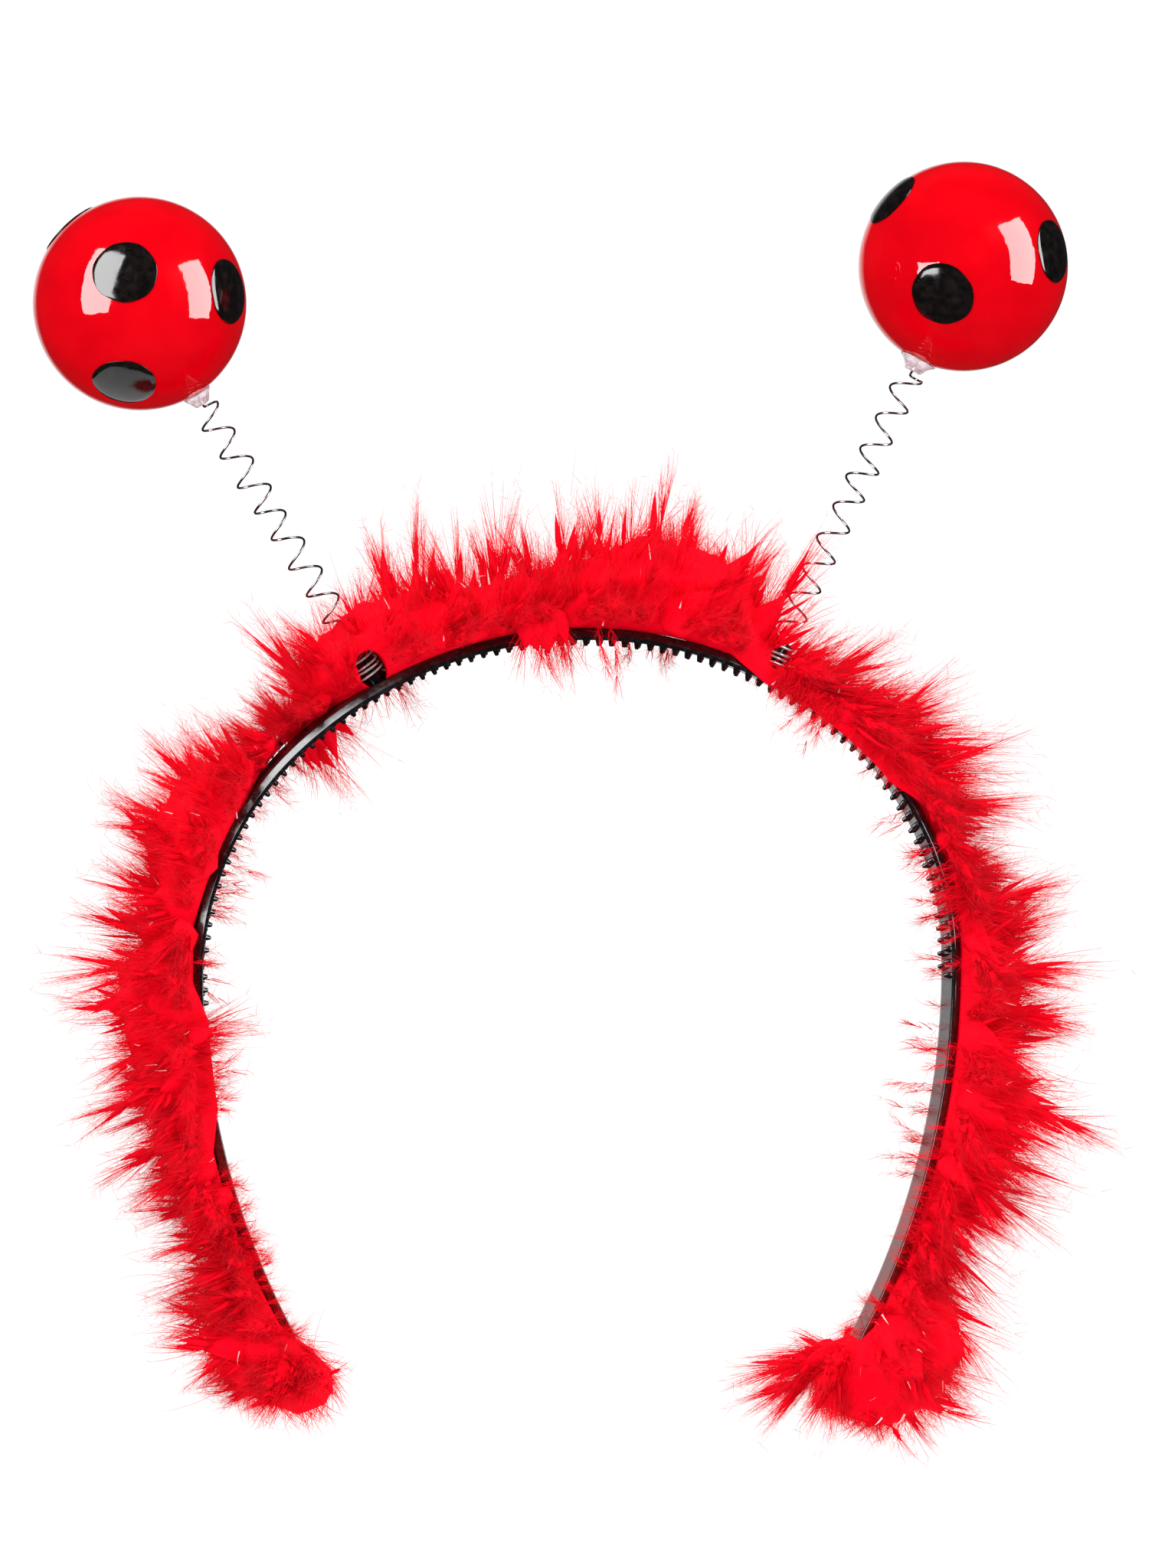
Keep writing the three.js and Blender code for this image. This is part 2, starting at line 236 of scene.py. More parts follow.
@dataclass(frozen=True)
class MouldedPolystyrene:
    """The comb band's gloss black plastic."""

    # High-impact polystyrene, injection moulded in a polished tool and dyed black in the mass. It gives a
    # deep black with clear reflections, a slight waviness from the melt's flow and fine rubbed lines from
    # handling. Red lint of the trim clings to the bare legs, and a painted warm reflection browns them
    # low down.
    slot: str = "black_plastic"
    colour: str = "#0c0c0e"
    rubbed: str = "#222124"
    gloss: Pair = (0.14, 0.28)
    rub: Pair = (0.8, 5.0)
    flow_mm: float = 7.0
    flow_relief: Pair = (0.06, 0.25)
    # The brown low on the legs: the trim's red lint together with a painted warm reflection.
    lint: str = "#861c17"
    lint_from: float = -70.0
    lint_to: float = -112.0
    ior: float = 1.55

    def material(self) -> Material:
        """Builds the material."""
        stops = [(0.52, self.colour), (0.78, self.rubbed)]
        surface = grained("black_polystyrene_moulded", self.rub, stops, (0.35, 0.75), self.gloss)
        tree, shader = surface.tree, surface.shader
        # Painted warm reflection with the trim's lint: the base colour browns down the legs, from 70 to 112
        # mm below the crown, in patches of the grain.
        height = add_node(tree, "ShaderNodeSeparateXYZ", {"Vector": surface.where}).outputs["Z"]
        lint = add_node(
            tree,
            "ShaderNodeMapRange",
            {"Value": height, "From Min": self.lint_from * MM, "From Max": self.lint_to * MM},
        )
        patchy = add_node(
            tree, "ShaderNodeMath", {0: lint.outputs["Result"], 1: surface.grain}, operation="MULTIPLY"
        )
        clean = shader.inputs["Base Color"].links[0].from_socket
        lint_and_reflection_tinted = add_node(
            tree,
            "ShaderNodeMix",
            {0: patchy.outputs["Value"], 6: clean, 7: linear(self.lint)},
            data_type="RGBA",
        )
        flow = add_node(
            tree,
            "ShaderNodeTexNoise",
            {"Vector": surface.where, "Scale": per_metre(self.flow_mm), "Detail": 2.0},
        )
        tree.links.new(lint_and_reflection_tinted.outputs[2], shader.inputs["Base Color"])
        shader.inputs["IOR"].default_value = self.ior
        return surface.raised(flow.outputs["Fac"], self.flow_relief)


@dataclass(frozen=True)
class GlossShell:
    """The balls' glossy red plastic."""

    # Thin blow-moulded PVC, dyed red and lacquered. It gives a saturated red with sharp window-like
    # highlights, a faint orange-peel ripple in them and a few dull fingerprints.
    slot: str = "red_plastic"
    colour: str = "#c2000c"
    deep: str = "#b6000b"
    gloss: Pair = (0.03, 0.09)
    smear: Pair = (9.0, 3.0)
    peel_mm: float = 3.4
    peel_relief: Pair = (0.22, 0.25)
    ior: float = 1.5

    def material(self) -> Material:
        """Builds the material."""
        stops = [(0.35, self.deep), (0.65, self.colour)]
        surface = grained("red_pvc_lacquered", self.smear, stops, (0.45, 0.75), self.gloss)
        peel = add_node(
            surface.tree,
            "ShaderNodeTexNoise",
            {"Vector": surface.where, "Scale": per_metre(self.peel_mm), "Detail": 2.0},
        )
        surface.shader.inputs["IOR"].default_value = self.ior
        return surface.raised(peel.outputs["Fac"], self.peel_relief)


@dataclass(frozen=True)
class DotInk:
    """The black of the dots."""

    # Black vinyl ink, pad-printed thick on the ball. It gives a charcoal black, satin to gloss, with tiny
    # dust nibs and brush-like unevenness where it dried.
    slot: str = "black_ink"
    colour: str = "#0a0808"
    thin: str = "#1c1515"
    gloss: Pair = (0.06, 0.16)
    dried: Pair = (1.6, 4.0)
    nib_mm: float = 0.7
    nib_share: float = 0.12
    nib_relief: Pair = (0.14, 0.1)

    def material(self) -> Material:
        """Builds the material."""
        stops = [(0.4, self.colour), (0.8, self.thin)]
        surface = grained("black_vinyl_ink", self.dried, stops, (0.35, 0.75), self.gloss)
        tree = surface.tree
        nibs = add_node(
            tree, "ShaderNodeTexVoronoi", {"Vector": surface.where, "Scale": per_metre(self.nib_mm)}
        )
        rise = add_node(
            tree,
            "ShaderNodeMapRange",
            {"Value": nibs.outputs["Distance"], "From Max": self.nib_share, "To Min": 1.0, "To Max": 0.0},
        )
        mixed = add_node(
            tree, "ShaderNodeMath", {0: rise.outputs["Result"], 1: surface.grain}, operation="ADD"
        )
        return surface.raised(mixed.outputs["Value"], self.nib_relief)


@dataclass(frozen=True)
class SpringWire:
    """The springs' bright steel wire."""

    # Cold-drawn carbon steel wire with a thin phosphate skin. It gives a dark grey metal whose rounded sides
    # catch thin white glints, with drawing lines too fine to show, drawn here as soft streaks.
    slot: str = "steel_wire"
    bright: str = "#a9aaae"
    dark: str = "#5c5d60"
    gloss: Pair = (0.14, 0.28)
    streak: Pair = (0.9, 3.0)
    metallic: float = 1.0

    def material(self) -> Material:
        """Builds the material."""
        stops = [(0.35, self.dark), (0.7, self.bright)]
        surface = grained("drawn_steel_wire", self.streak, stops, (0.3, 0.7), self.gloss)
        surface.shader.inputs["Metallic"].default_value = self.metallic
        return surface.material


@dataclass(frozen=True)
class HotMelt:
    """The beads of glue."""

    # Ethylene-vinyl acetate hot-melt glue, dabbed on and left to set. It gives a milky, half clear bead with
    # a soft wet gloss and small ripples.
    slot: str = "clear_glue"
    colour: str = "#fbf4f6"
    cloud: str = "#f3e6ea"
    gloss: Pair = (0.08, 0.2)
    ripple: Pair = (2.2, 3.0)
    ripple_relief: Pair = (0.2, 0.3)
    clearness: float = 0.7
    ior: float = 1.48

    def material(self) -> Material:
        """Builds the material."""
        stops = [(0.35, self.cloud), (0.65, self.colour)]
        surface = grained("hot_melt_glue", self.ripple, stops, (0.3, 0.7), self.gloss)
        surface.shader.inputs["Transmission Weight"].default_value = self.clearness
        surface.shader.inputs["IOR"].default_value = self.ior
        return surface.raised(surface.grain, self.ripple_relief)


@dataclass(frozen=True)
class MarabouDown:
    """The red down of the trim."""

    # Marabou, the down of turkeys, dyed red and glued on in tufts. Every soft barb is a thread with its own
    # fluff, so the mass is matt and brightest where it is dense; thin tips look duller, bare quills pale.
    slot: str = "red_down"
    root: str = "#d60014"
    middle: str = "#e6001d"
    tip: str = "#b8202a"
    quill: str = "#f6c4c8"
    clump_mm: float = 14.0
    variation: float = 0.09

    def material(self) -> Material:
        """Builds the material."""
        material, tree, shader = new_shader("marabou_down_dyed")
        where = add_node(tree, "ShaderNodeTexCoord").outputs["Object"]
        share = add_node(tree, "ShaderNodeAttribute", attribute_name="tip_share")
        tone = add_node(tree, "ShaderNodeAttribute", attribute_name="tone")
        clump = add_node(
            tree, "ShaderNodeTexNoise", {"Vector": where, "Scale": per_metre(self.clump_mm), "Detail": 2.0}
        )
        colour = add_node(
            tree,
            "ShaderNodeValToRGB",
            {"Fac": share.outputs["Fac"]},
            ramp=[
                (0.0, self.root),
                (0.3, self.middle),
                (0.52, self.middle),
                (0.75, self.tip),
                (0.8, self.tip),
                (1.0, self.quill),
            ],
        )
        wave = add_node(
            tree,
            "ShaderNodeMath",
            {0: tone.outputs["Fac"], 1: clump.outputs["Fac"]},
            operation="ADD",
        )
        value = add_node(
            tree,
            "ShaderNodeMapRange",
            {
                "Value": wave.outputs["Value"],
                "From Min": 0.4,
                "From Max": 1.6,
                "To Min": 1.0 - self.variation,
                "To Max": 1.0 + self.variation,
            },
        )
        varied = add_node(
            tree,
            "ShaderNodeHueSaturation",
            {"Color": colour.outputs["Color"], "Value": value.outputs["Result"]},
        )
        tree.links.new(varied.outputs["Color"], shader.inputs["Base Color"])
        shader.inputs["Roughness"].default_value = 0.75
        shader.inputs["Specular IOR Level"].default_value = 0.03
        return material


def deselect() -> None:
    """Deselects every object."""
    bpy.ops.object.select_all(action="DESELECT")


def make_active(obj: Object) -> None:
    """Selects one object alone and makes it the active one."""
    deselect()
    obj.select_set(True)
    bpy.context.view_layer.objects.active = obj


def take_new(name: str) -> Object:
    """Names the object that was just added, and its mesh, and returns it."""
    obj = bpy.context.object
    obj.name = name
    obj.data.name = name
    return obj


@contextmanager
def editing(obj: Object) -> Iterator[None]:
    """Edit mode on one object, with nothing else selected.

    Args:
        obj: The mesh object.
    """
    make_active(obj)
    bpy.ops.object.mode_set(mode="EDIT")
    yield
    bpy.ops.object.mode_set(mode="OBJECT")


def apply_modifier(obj: Object, kind: str, **settings: object) -> None:
    """Adds a modifier and applies it.

    Args:
        obj: The mesh object.
        kind: The modifier's type.
        settings: Its properties.
    """
    make_active(obj)
    modifier = obj.modifiers.new(kind.lower(), kind)
    for key, value in settings.items():
        setattr(modifier, key, value)
    bpy.ops.object.modifier_apply(modifier=modifier.name)


def smooth(obj: Object, degrees: float = 40.0) -> None:
    """Shades an object smooth, with edges kept where faces meet sharply."""
    make_active(obj)
    bpy.ops.object.shade_smooth_by_angle(angle=math.radians(degrees))


def points_of(obj: Object) -> Array:
    """The object's vertices in millimetres, a row each."""
    flat = np.empty(len(obj.data.vertices) * 3, dtype=np.float32)
    obj.data.vertices.foreach_get("co", flat)
    return flat.reshape(-1, 3).astype(float) / MM


def move_points(obj: Object, points: Array) -> None:
    """Puts the object's vertices at these places, in millimetres."""
    obj.data.vertices.foreach_set("co", (points * MM).astype(np.float32).ravel())
    obj.data.update()


def select_faces(obj: Object, chosen: Callable[[Vector], bool]) -> None:
    """Selects the faces whose middle passes a test, and nothing else.

    Args:
        obj: The mesh object, in object mode.
        chosen: The test on a face's middle, in metres.
    """
    mesh = obj.data
    mesh.vertices.foreach_set("select", np.zeros(len(mesh.vertices), dtype=bool))
    mesh.edges.foreach_set("select", np.zeros(len(mesh.edges), dtype=bool))
    mesh.polygons.foreach_set("select", [chosen(face.center) for face in mesh.polygons])


def join(first: Object, *others: Object) -> Object:
    """Joins objects into the first one."""
    make_active(first)
    for obj in others:
        obj.select_set(True)
    bpy.ops.object.join()
    return first


def mesh_from_arrays(name: str, points: Array, corners: Array, sizes: Array) -> Object:
    """Makes a mesh object from arrays.

    Args:
        name: The object's name.
        points: Vertices in millimetres, a row each.
        corners: Vertex numbers of all faces, one face after the other.
        sizes: How many corners each face has.

    Returns:
        The object, linked to the scene.
    """
    mesh = bpy.data.meshes.new(name)
    mesh.vertices.add(len(points))
    mesh.vertices.foreach_set("co", (points * MM).astype(np.float32).ravel())
    mesh.loops.add(len(corners))
    mesh.loops.foreach_set("vertex_index", corners.astype(np.int32))
    mesh.polygons.add(len(sizes))
    starts = np.concatenate([[0], np.cumsum(sizes)[:-1]])
    mesh.polygons.foreach_set("loop_start", starts.astype(np.int32))
    mesh.update(calc_edges=True)
    mesh.validate()
    obj = bpy.data.objects.new(name, mesh)
    bpy.context.scene.collection.objects.link(obj)
    return obj


def repeated(faces: list[list[int]], points: int, count: int) -> tuple[Array, Array]:
    """Numbers the face corners of one shape repeated many times.

    Args:
        faces: The shape's own faces, by its vertex numbers.
        points: How many vertices it has.
        count: How many times it is there.

    Returns:
        The corners of all faces, one face after the other, and how many corners each face has.
    """
    pattern = np.array([corner for face in faces for corner in face])
    corners = (pattern[None, :] + (np.arange(count) * points)[:, None]).ravel()
    return corners, np.tile([len(face) for face in faces], count)


def copies(model: Object, places: Array, turns: Array, name: str) -> Object:
    """Repeats one small model at many places, as a single joined mesh.

    Args:
        model: The object to repeat; it is removed.
        places: Where each copy stands, in millimetres, a row each.
        turns: A 3 by 3 matrix for each copy, its columns the copy's own axes.
        name: The joined object's name.

    Returns:
        The joined object.
    """
    shape = points_of(model)
    faces = [list(face.vertices) for face in model.data.polygons]
    points = places[:, None, :] + np.einsum("nij,kj->nki", turns, shape)
    bpy.data.objects.remove(model, do_unlink=True)
    return mesh_from_arrays(name, points.reshape(-1, 3), *repeated(faces, len(shape), len(places)))


def unit(vectors: Array) -> Array:
    """The vectors at length 1."""
    return vectors / np.maximum(np.linalg.norm(vectors, axis=-1, keepdims=True), 1e-9)


def curve_point(start: Array, middle: Array, end: Array, share: Array) -> Array:
    """Points on quadratic curves, at shares from 0 at the start to 1 at the end."""
    rest = 1.0 - share
    return start * rest**2 + middle * (2.0 * rest * share) + end * share**2


def put_on(obj: Object, material: Material, nodes: list[str]) -> Object:
    """Gives a piece its finish and hides the CAD nodes that it stands for.

    Args:
        obj: The piece.
        material: The finish's material.
        nodes: The CAD nodes that it replaces.

    Returns:
        The piece.
    """
    obj.data.materials.clear()
    obj.data.materials.append(material)
    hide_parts(*nodes)
    LOG.info("%s: %d faces, %s", obj.name, len(obj.data.polygons), material.name)
    return obj


@dataclass
class BandCurve:
    """The band's inner face seen from the front: three tangent arcs on each side of the crown."""

    crown_radius: float = 80.0
    crown_degrees: float = 42.0
    shoulder_radius: float = 57.0
    leg_radius: float = 147.0
    half_length: float = 188.0
    width: Pair = (11.0, 8.5)
    thickness: Pair = (2.2, 1.5)

    def at(self, along: Array) -> tuple[Array, Array, Array]:
        """Places on the inner face.

        Args:
            along: Signed lengths from the crown, negative to the left.

        Returns:
            The points, the outward normals and the tangents towards the right, a row each.
        """
        along = np.atleast_1d(np.asarray(along, dtype=float))
        side = np.where(along < 0, -1.0, 1.0)
        length = np.abs(along)
        crown_angle = math.radians(self.crown_degrees)
        crown = self.crown_radius * crown_angle
        shoulder = self.shoulder_radius * (math.pi / 2 - crown_angle)
        gap = self.crown_radius - self.shoulder_radius
        drop = gap * math.sin(crown_angle)
        rise = gap * math.cos(crown_angle) - self.crown_radius
        leg_angle = math.pi / 2 + (length - crown - shoulder) / self.leg_radius
        shoulder_angle = crown_angle + (length - crown) / self.shoulder_radius
        parts = [length > crown + shoulder, length > crown]
        angle = np.select(parts, [leg_angle, shoulder_angle], length / self.crown_radius)
        radius = np.select(parts, [self.leg_radius, self.shoulder_radius], self.crown_radius)
        centre_x = np.select(parts, [drop + self.shoulder_radius - self.leg_radius, drop], 0.0)
        centre_z = np.select(parts, [rise, rise], -self.crown_radius)
        sine, cosine, flat = np.sin(angle), np.cos(angle), np.zeros_like(along)
        point = np.stack([side * (centre_x + radius * sine), flat, centre_z + radius * cosine], axis=1)
        normal = np.stack([side * sine, flat, cosine], axis=1)
        tangent = np.stack([cosine, flat, -side * sine], axis=1)
        return point, normal, tangent

    def place(self, along: Array, out: Array, across: Array) -> Array:
        """Places by length along the band, height off the inner face and Y, a row each."""
        point, normal, _ = self.at(along)
        places = point + normal * np.reshape(out, (-1, 1))
        places[:, 1] += across
        return places

    def sized(self, sizes: Pair, along: Array) -> Array:
        """A size between its values at the crown and at the tips."""
        share = np.abs(along) / self.half_length
        return sizes[0] + (sizes[1] - sizes[0]) * share


CURVE = BandCurve()


@dataclass
class Antenna:
    """Where one antenna stands: its foot on the band's outer face, its lean and its ball."""

    side: Side
    along: float
    lean: float
    ball_at: float
    window: float
    dots: list[Pair]
    smear: float
    ball_radius: float = 20.0
    glue_height: float = 2.3

    @property
    def foot(self) -> Array:
        """The middle of the stud's foot."""
        return CURVE.place(self.along, CURVE.sized(CURVE.thickness, self.along), 0.0)[0]

    @property
    def axes(self) -> Array:
        """A 3 by 3 matrix whose columns are the antenna's own axes, +Z along its spring."""
        turn = Matrix.Rotation(math.radians(self.lean), 3, "Y")
        return np.array(turn)

    @property
    def coil_top(self) -> float:
        """How far along the axis the open coil ends."""
        return self.ball_at - self.ball_radius - self.glue_height - 1.0

    def world(self, points: Array) -> Array:
        """Points of the antenna's own frame, in the part's frame."""
        return self.foot + np.asarray(points) @ self.axes.T

    def local(self, points: Array) -> Array:
        """Points of the part's frame, in the antenna's own frame."""
        return (points - self.foot) @ self.axes

    def metres(self, height: float) -> tuple[float, float, float]:
        """A point of the axis in metres."""
        return tuple(self.world(np.array([[0.0, 0.0, height]]))[0] * MM)


# Dot directions in degrees: turn from the front (-Y) towards +X, and height above the middle.
ANTENNAE = [
    Antenna(
        side=Side.LEFT,
        along=-38.0,
        lean=-31.0,
        ball_at=84.2,
        window=2.89,
        dots=[(-16, 18), (51, 6), (-22, -48), (-114, 47), (125, 50), (-125, -22), (135, -30)],
        smear=3.2,
    ),
    Antenna(
        side=Side.RIGHT,
        along=38.5,
        lean=27.5,
        ball_at=86.0,
        window=1.7,
        dots=[(-26, -15), (49, 8), (-82, 42), (140, 45), (-150, 30), (115, -35), (-138, -28)],
        smear=3.9,
    ),
]


@dataclass
class CombBand:
    """The moulded band, with its comb teeth inside and the two studs outside."""

    steps: int = 300
    rows: int = 8
    edge_round: float = 0.3
    facet_rows: tuple[float, ...] = (0.36, 0.42)
    facet_depth: float = 1.05
    tip_round: float = 4.0
    tip_narrow: float = 0.22
    tooth_pitch: float = 2.5
    tooth_rows: Pair = (-2.4, 2.4)
    tooth_foot: float = 0.78
    tooth_top: float = 0.34
    tooth_height: float = 1.25
    tooth_sink: float = 0.3
    tooth_round: float = 0.14
    toothed_half: float = 110.0
    stud_radius: float = 2.0
    stud_height: float = 6.2
    stud_sink: float = 1.2
    stud_round: float = 0.5
    seed: int = 5

    def strip(self) -> Object:
        """Models the strip flat, with rounded edges, then lays it along the band's curve."""
        deselect()
        bpy.ops.mesh.primitive_grid_add(x_subdivisions=self.steps, y_subdivisions=self.rows, size=1.0)
        strip = take_new("band_moulding")
        width, thickness = CURVE.width[0], CURVE.thickness[0]
        move_points(strip, points_of(strip) * MM * (2 * CURVE.half_length, width, 1.0))
        apply_modifier(strip, "SOLIDIFY", thickness=thickness * MM, offset=1.0)
        apply_modifier(
            strip, "BEVEL", width=self.edge_round * MM, segments=3, limit_method="ANGLE", angle_limit=SHARP
        )
        for height in self.facet_rows:
            with editing(strip):
                bpy.ops.mesh.select_all(action="SELECT")
                bpy.ops.mesh.bisect(plane_co=(0.0, 0.0, height * thickness * MM), plane_no=(0.0, 0.0, 1.0))
        flat = points_of(strip)
        along = flat[:, 0]
        past = np.clip((np.abs(along) - CURVE.half_length + self.tip_round) / self.tip_round, 0.0, 1.0)
        narrow = np.maximum(np.sqrt(1.0 - past**2), self.tip_narrow)
        facet = np.clip((flat[:, 2] / thickness - self.facet_rows[0]) / (1.0 - self.facet_rows[0]), 0.0, 1.0)
        drawn_in = 1.0 - self.facet_depth * facet / (width / 2)
        across = flat[:, 1] * narrow * drawn_in * CURVE.sized(CURVE.width, along) / width
        out = flat[:, 2] * CURVE.sized(CURVE.thickness, along) / thickness
        move_points(strip, CURVE.place(along, out, across))
        return strip

    def teeth(self) -> Object:
        """Models one blunt tooth and sets two staggered rows of it on the inner face."""
        deselect()
        depth = self.tooth_height + self.tooth_sink
        bpy.ops.mesh.primitive_cone_add(
            vertices=8,
            radius1=self.tooth_foot * MM,
            radius2=self.tooth_top * MM,
            depth=depth * MM,
            location=(0.0, 0.0, (depth / 2 - self.tooth_sink) * MM),
        )
        tooth = take_new("tooth")
        bpy.ops.object.transform_apply(location=True)
        with editing(tooth):
            bpy.ops.mesh.select_all(action="DESELECT")
            bpy.ops.object.mode_set(mode="OBJECT")
            select_faces(tooth, lambda middle: middle.z > (self.tooth_height - 0.01) * MM)
            bpy.ops.object.mode_set(mode="EDIT")
            bpy.ops.mesh.bevel(offset=self.tooth_round * MM, segments=2, affect="EDGES")
        rows = []
        for row, across in enumerate(self.tooth_rows):
            first = -self.toothed_half + row * self.tooth_pitch / 2
            along = np.arange(first, self.toothed_half + 0.01, self.tooth_pitch)
            rows.append(np.stack([along, np.full_like(along, across)], axis=1))
        spots = np.concatenate(rows)
        rng = np.random.default_rng(self.seed)
        point, normal, tangent = CURVE.at(spots[:, 0])
        point[:, 1] += spots[:, 1]
        lean = unit(-normal + tangent * rng.normal(0.0, 0.05, (len(spots), 1)))
        side = unit(np.cross(np.array([0.0, 1.0, 0.0]), lean))
        turns = np.stack([side, np.cross(lean, side), lean], axis=2)
        turns[:, :, 2] *= rng.uniform(0.9, 1.04, (len(spots), 1))
        return copies(tooth, point, turns, "teeth")

    def stud(self, antenna: Antenna) -> Object:
        """Models one stud, rounded at its top, on the outer face.

        Args:
            antenna: The antenna that it carries.

        Returns:
            The stud.
        """
        deselect()
        depth = self.stud_height + self.stud_sink
        bpy.ops.mesh.primitive_cylinder_add(
            vertices=32,
            radius=self.stud_radius * MM,
            depth=depth * MM,
            location=(0.0, 0.0, (depth / 2 - self.stud_sink) * MM),
        )
        stud = take_new("stud")
        bpy.ops.object.transform_apply(location=True)
        apply_modifier(
            stud, "BEVEL", width=self.stud_round * MM, segments=3, limit_method="ANGLE", angle_limit=SHARP
        )
        move_points(stud, antenna.world(points_of(stud)))
        return stud

    def build(self) -> Object:
        """Models the whole band and returns it."""
        studs = [self.stud(antenna) for antenna in ANTENNAE]
        band = join(self.strip(), self.teeth(), *studs)
        smooth(band)
        return band

    def dress(self, band: Object, finish: MouldedPolystyrene) -> None:
        """Gives the band its finish and fixes it to the headband's body."""
        put_on(band, finish.material(), ["band"])
        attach(band, Body.HEADBAND.of(Side.LEFT))


@dataclass
class CoilSpring:
    """One antenna's spring: turns that grip the stud, an open coil, and a tail up into the ball."""

    antenna: Antenna
    wire_radius: float = 0.22
    coil_radius: float = 2.56
    grip_turns: int = 4
    grip_from: float = 1.0
    grip_to: float = 5.6
    open_turns: int = 9
    neck_turns: int = 2
    steps: int = 28
    tail: float = 4.6
    wobble: float = 0.16

    def coil(self, first: float, last: float, start: float, end: float) -> Array:
        """A helix in the antenna's frame.

        Args:
            first: The turn that it starts at.
            last: The turn that it ends at.
            start: Height at its start.
            end: Height at its end.

        Returns:
            Its points, a row each.
        """
        turns = np.linspace(first, last, int(round((last - first) * self.steps)) + 1)
        angle = 2 * math.pi * turns
        share = (turns - first) / (last - first)
        ends = np.sin(math.pi * share)
        radius = self.coil_radius + self.wobble * ends * np.sin(2.3 * turns + self.antenna.along)
        height = start + (end - start) * share + self.wobble * 2 * ends * np.sin(1.7 * turns)
        return np.stack([radius * np.cos(angle), radius * np.sin(angle), height], axis=1)

    def tail_points(self) -> Array:
        """The last bend, from the coil in to the axis and up into the ball."""
        top = self.antenna.coil_top
        radius = self.coil_radius
        corners = np.array(
            [
                [radius, 0.0, top],
                [radius * 0.95, radius * 0.75, top + 0.1],
                [radius * 0.1, radius * 0.8, top + 0.2],
                [0.0, 0.0, top + 0.6],
                [0.0, 0.0, top + self.tail],
            ]
        )
        halves = (corners[1:-1] + corners[2:]) / 2
        share = np.linspace(0.0, 1.0, 9)[1:, None]
        first = curve_point(corners[0], corners[1], halves[0], share)
        second = curve_point(halves[0], corners[2], halves[1], share)
        third = curve_point(halves[1], corners[3], corners[4], share)
        return np.concatenate([first, second, third])

    def wire(self, name: str, path: Array) -> Object:
        """Draws wire along a path and makes it a mesh.

        Args:
            name: The piece's name.
            path: Points in the antenna's frame.

        Returns:
            The wire.
        """
        points = self.antenna.world(path) * MM
        data = bpy.data.curves.new(name, "CURVE")
        data.dimensions = "3D"
        data.bevel_depth = self.wire_radius * MM
        data.bevel_resolution = 2
        data.use_fill_caps = True
        spline = data.splines.new("POLY")
        spline.points.add(len(points) - 1)
        spline.points.foreach_set("co", np.c_[points, np.ones(len(points))].ravel())
        line = bpy.data.objects.new(name, data)
        bpy.context.scene.collection.objects.link(line)
        make_active(line)
        bpy.ops.object.convert(target="MESH")
        wire = take_new(name)
        smooth(wire, 60.0)
        return wire

    def build(self) -> list[Object]:
        """Winds the grip, the neck above it, and the coil with its tail up into the ball."""
        side = self.antenna.side.value
        pitch = (self.antenna.coil_top - self.grip_to) / self.open_turns
        neck_top = self.grip_to + pitch * self.neck_turns
        grip = self.coil(0, self.grip_turns, self.grip_from, self.grip_to)
        neck = self.coil(0, self.neck_turns, self.grip_to, neck_top)
        upper = self.coil(self.neck_turns, self.open_turns, neck_top, self.antenna.coil_top)
        return [
            self.wire(f"spring_grip_{side}", grip),
            self.wire(f"spring_neck_{side}", neck),
            self.wire(f"spring_coil_{side}", np.concatenate([upper, self.tail_points()])),
        ]

    def dress(
        self,
        pieces: list[Object],
        finish: SpringWire,
        materials: tuple[Material, Material],
    ) -> None:
        """Gives the wire its finish and fixes the grip to the headband's body.

        Args:
            pieces: The grip, the neck and the coil.
            finish: Not used.
            materials: The grip's wire, a lighter, less metallic copy whose colour paints its glints, and the
                wire of the rest.
        """
        side = self.antenna.side
        grip, neck, coil = pieces
        for piece in pieces:
            # The grip takes the lighter copy, whose colour paints its glints.
            put_on(piece, materials[piece is not grip], [f"spring_{side.value}"])
        headband, spring, ball = (body.of(side) for body in Body)
        pitch = (self.antenna.coil_top - self.grip_to) / self.open_turns
        low = self.antenna.metres(self.grip_to)
        mid = self.antenna.metres(self.grip_to + pitch * self.neck_turns)
        high = self.antenna.metres(self.antenna.coil_top)
        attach(grip, headband)
        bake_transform(neck)
        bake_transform(coil)


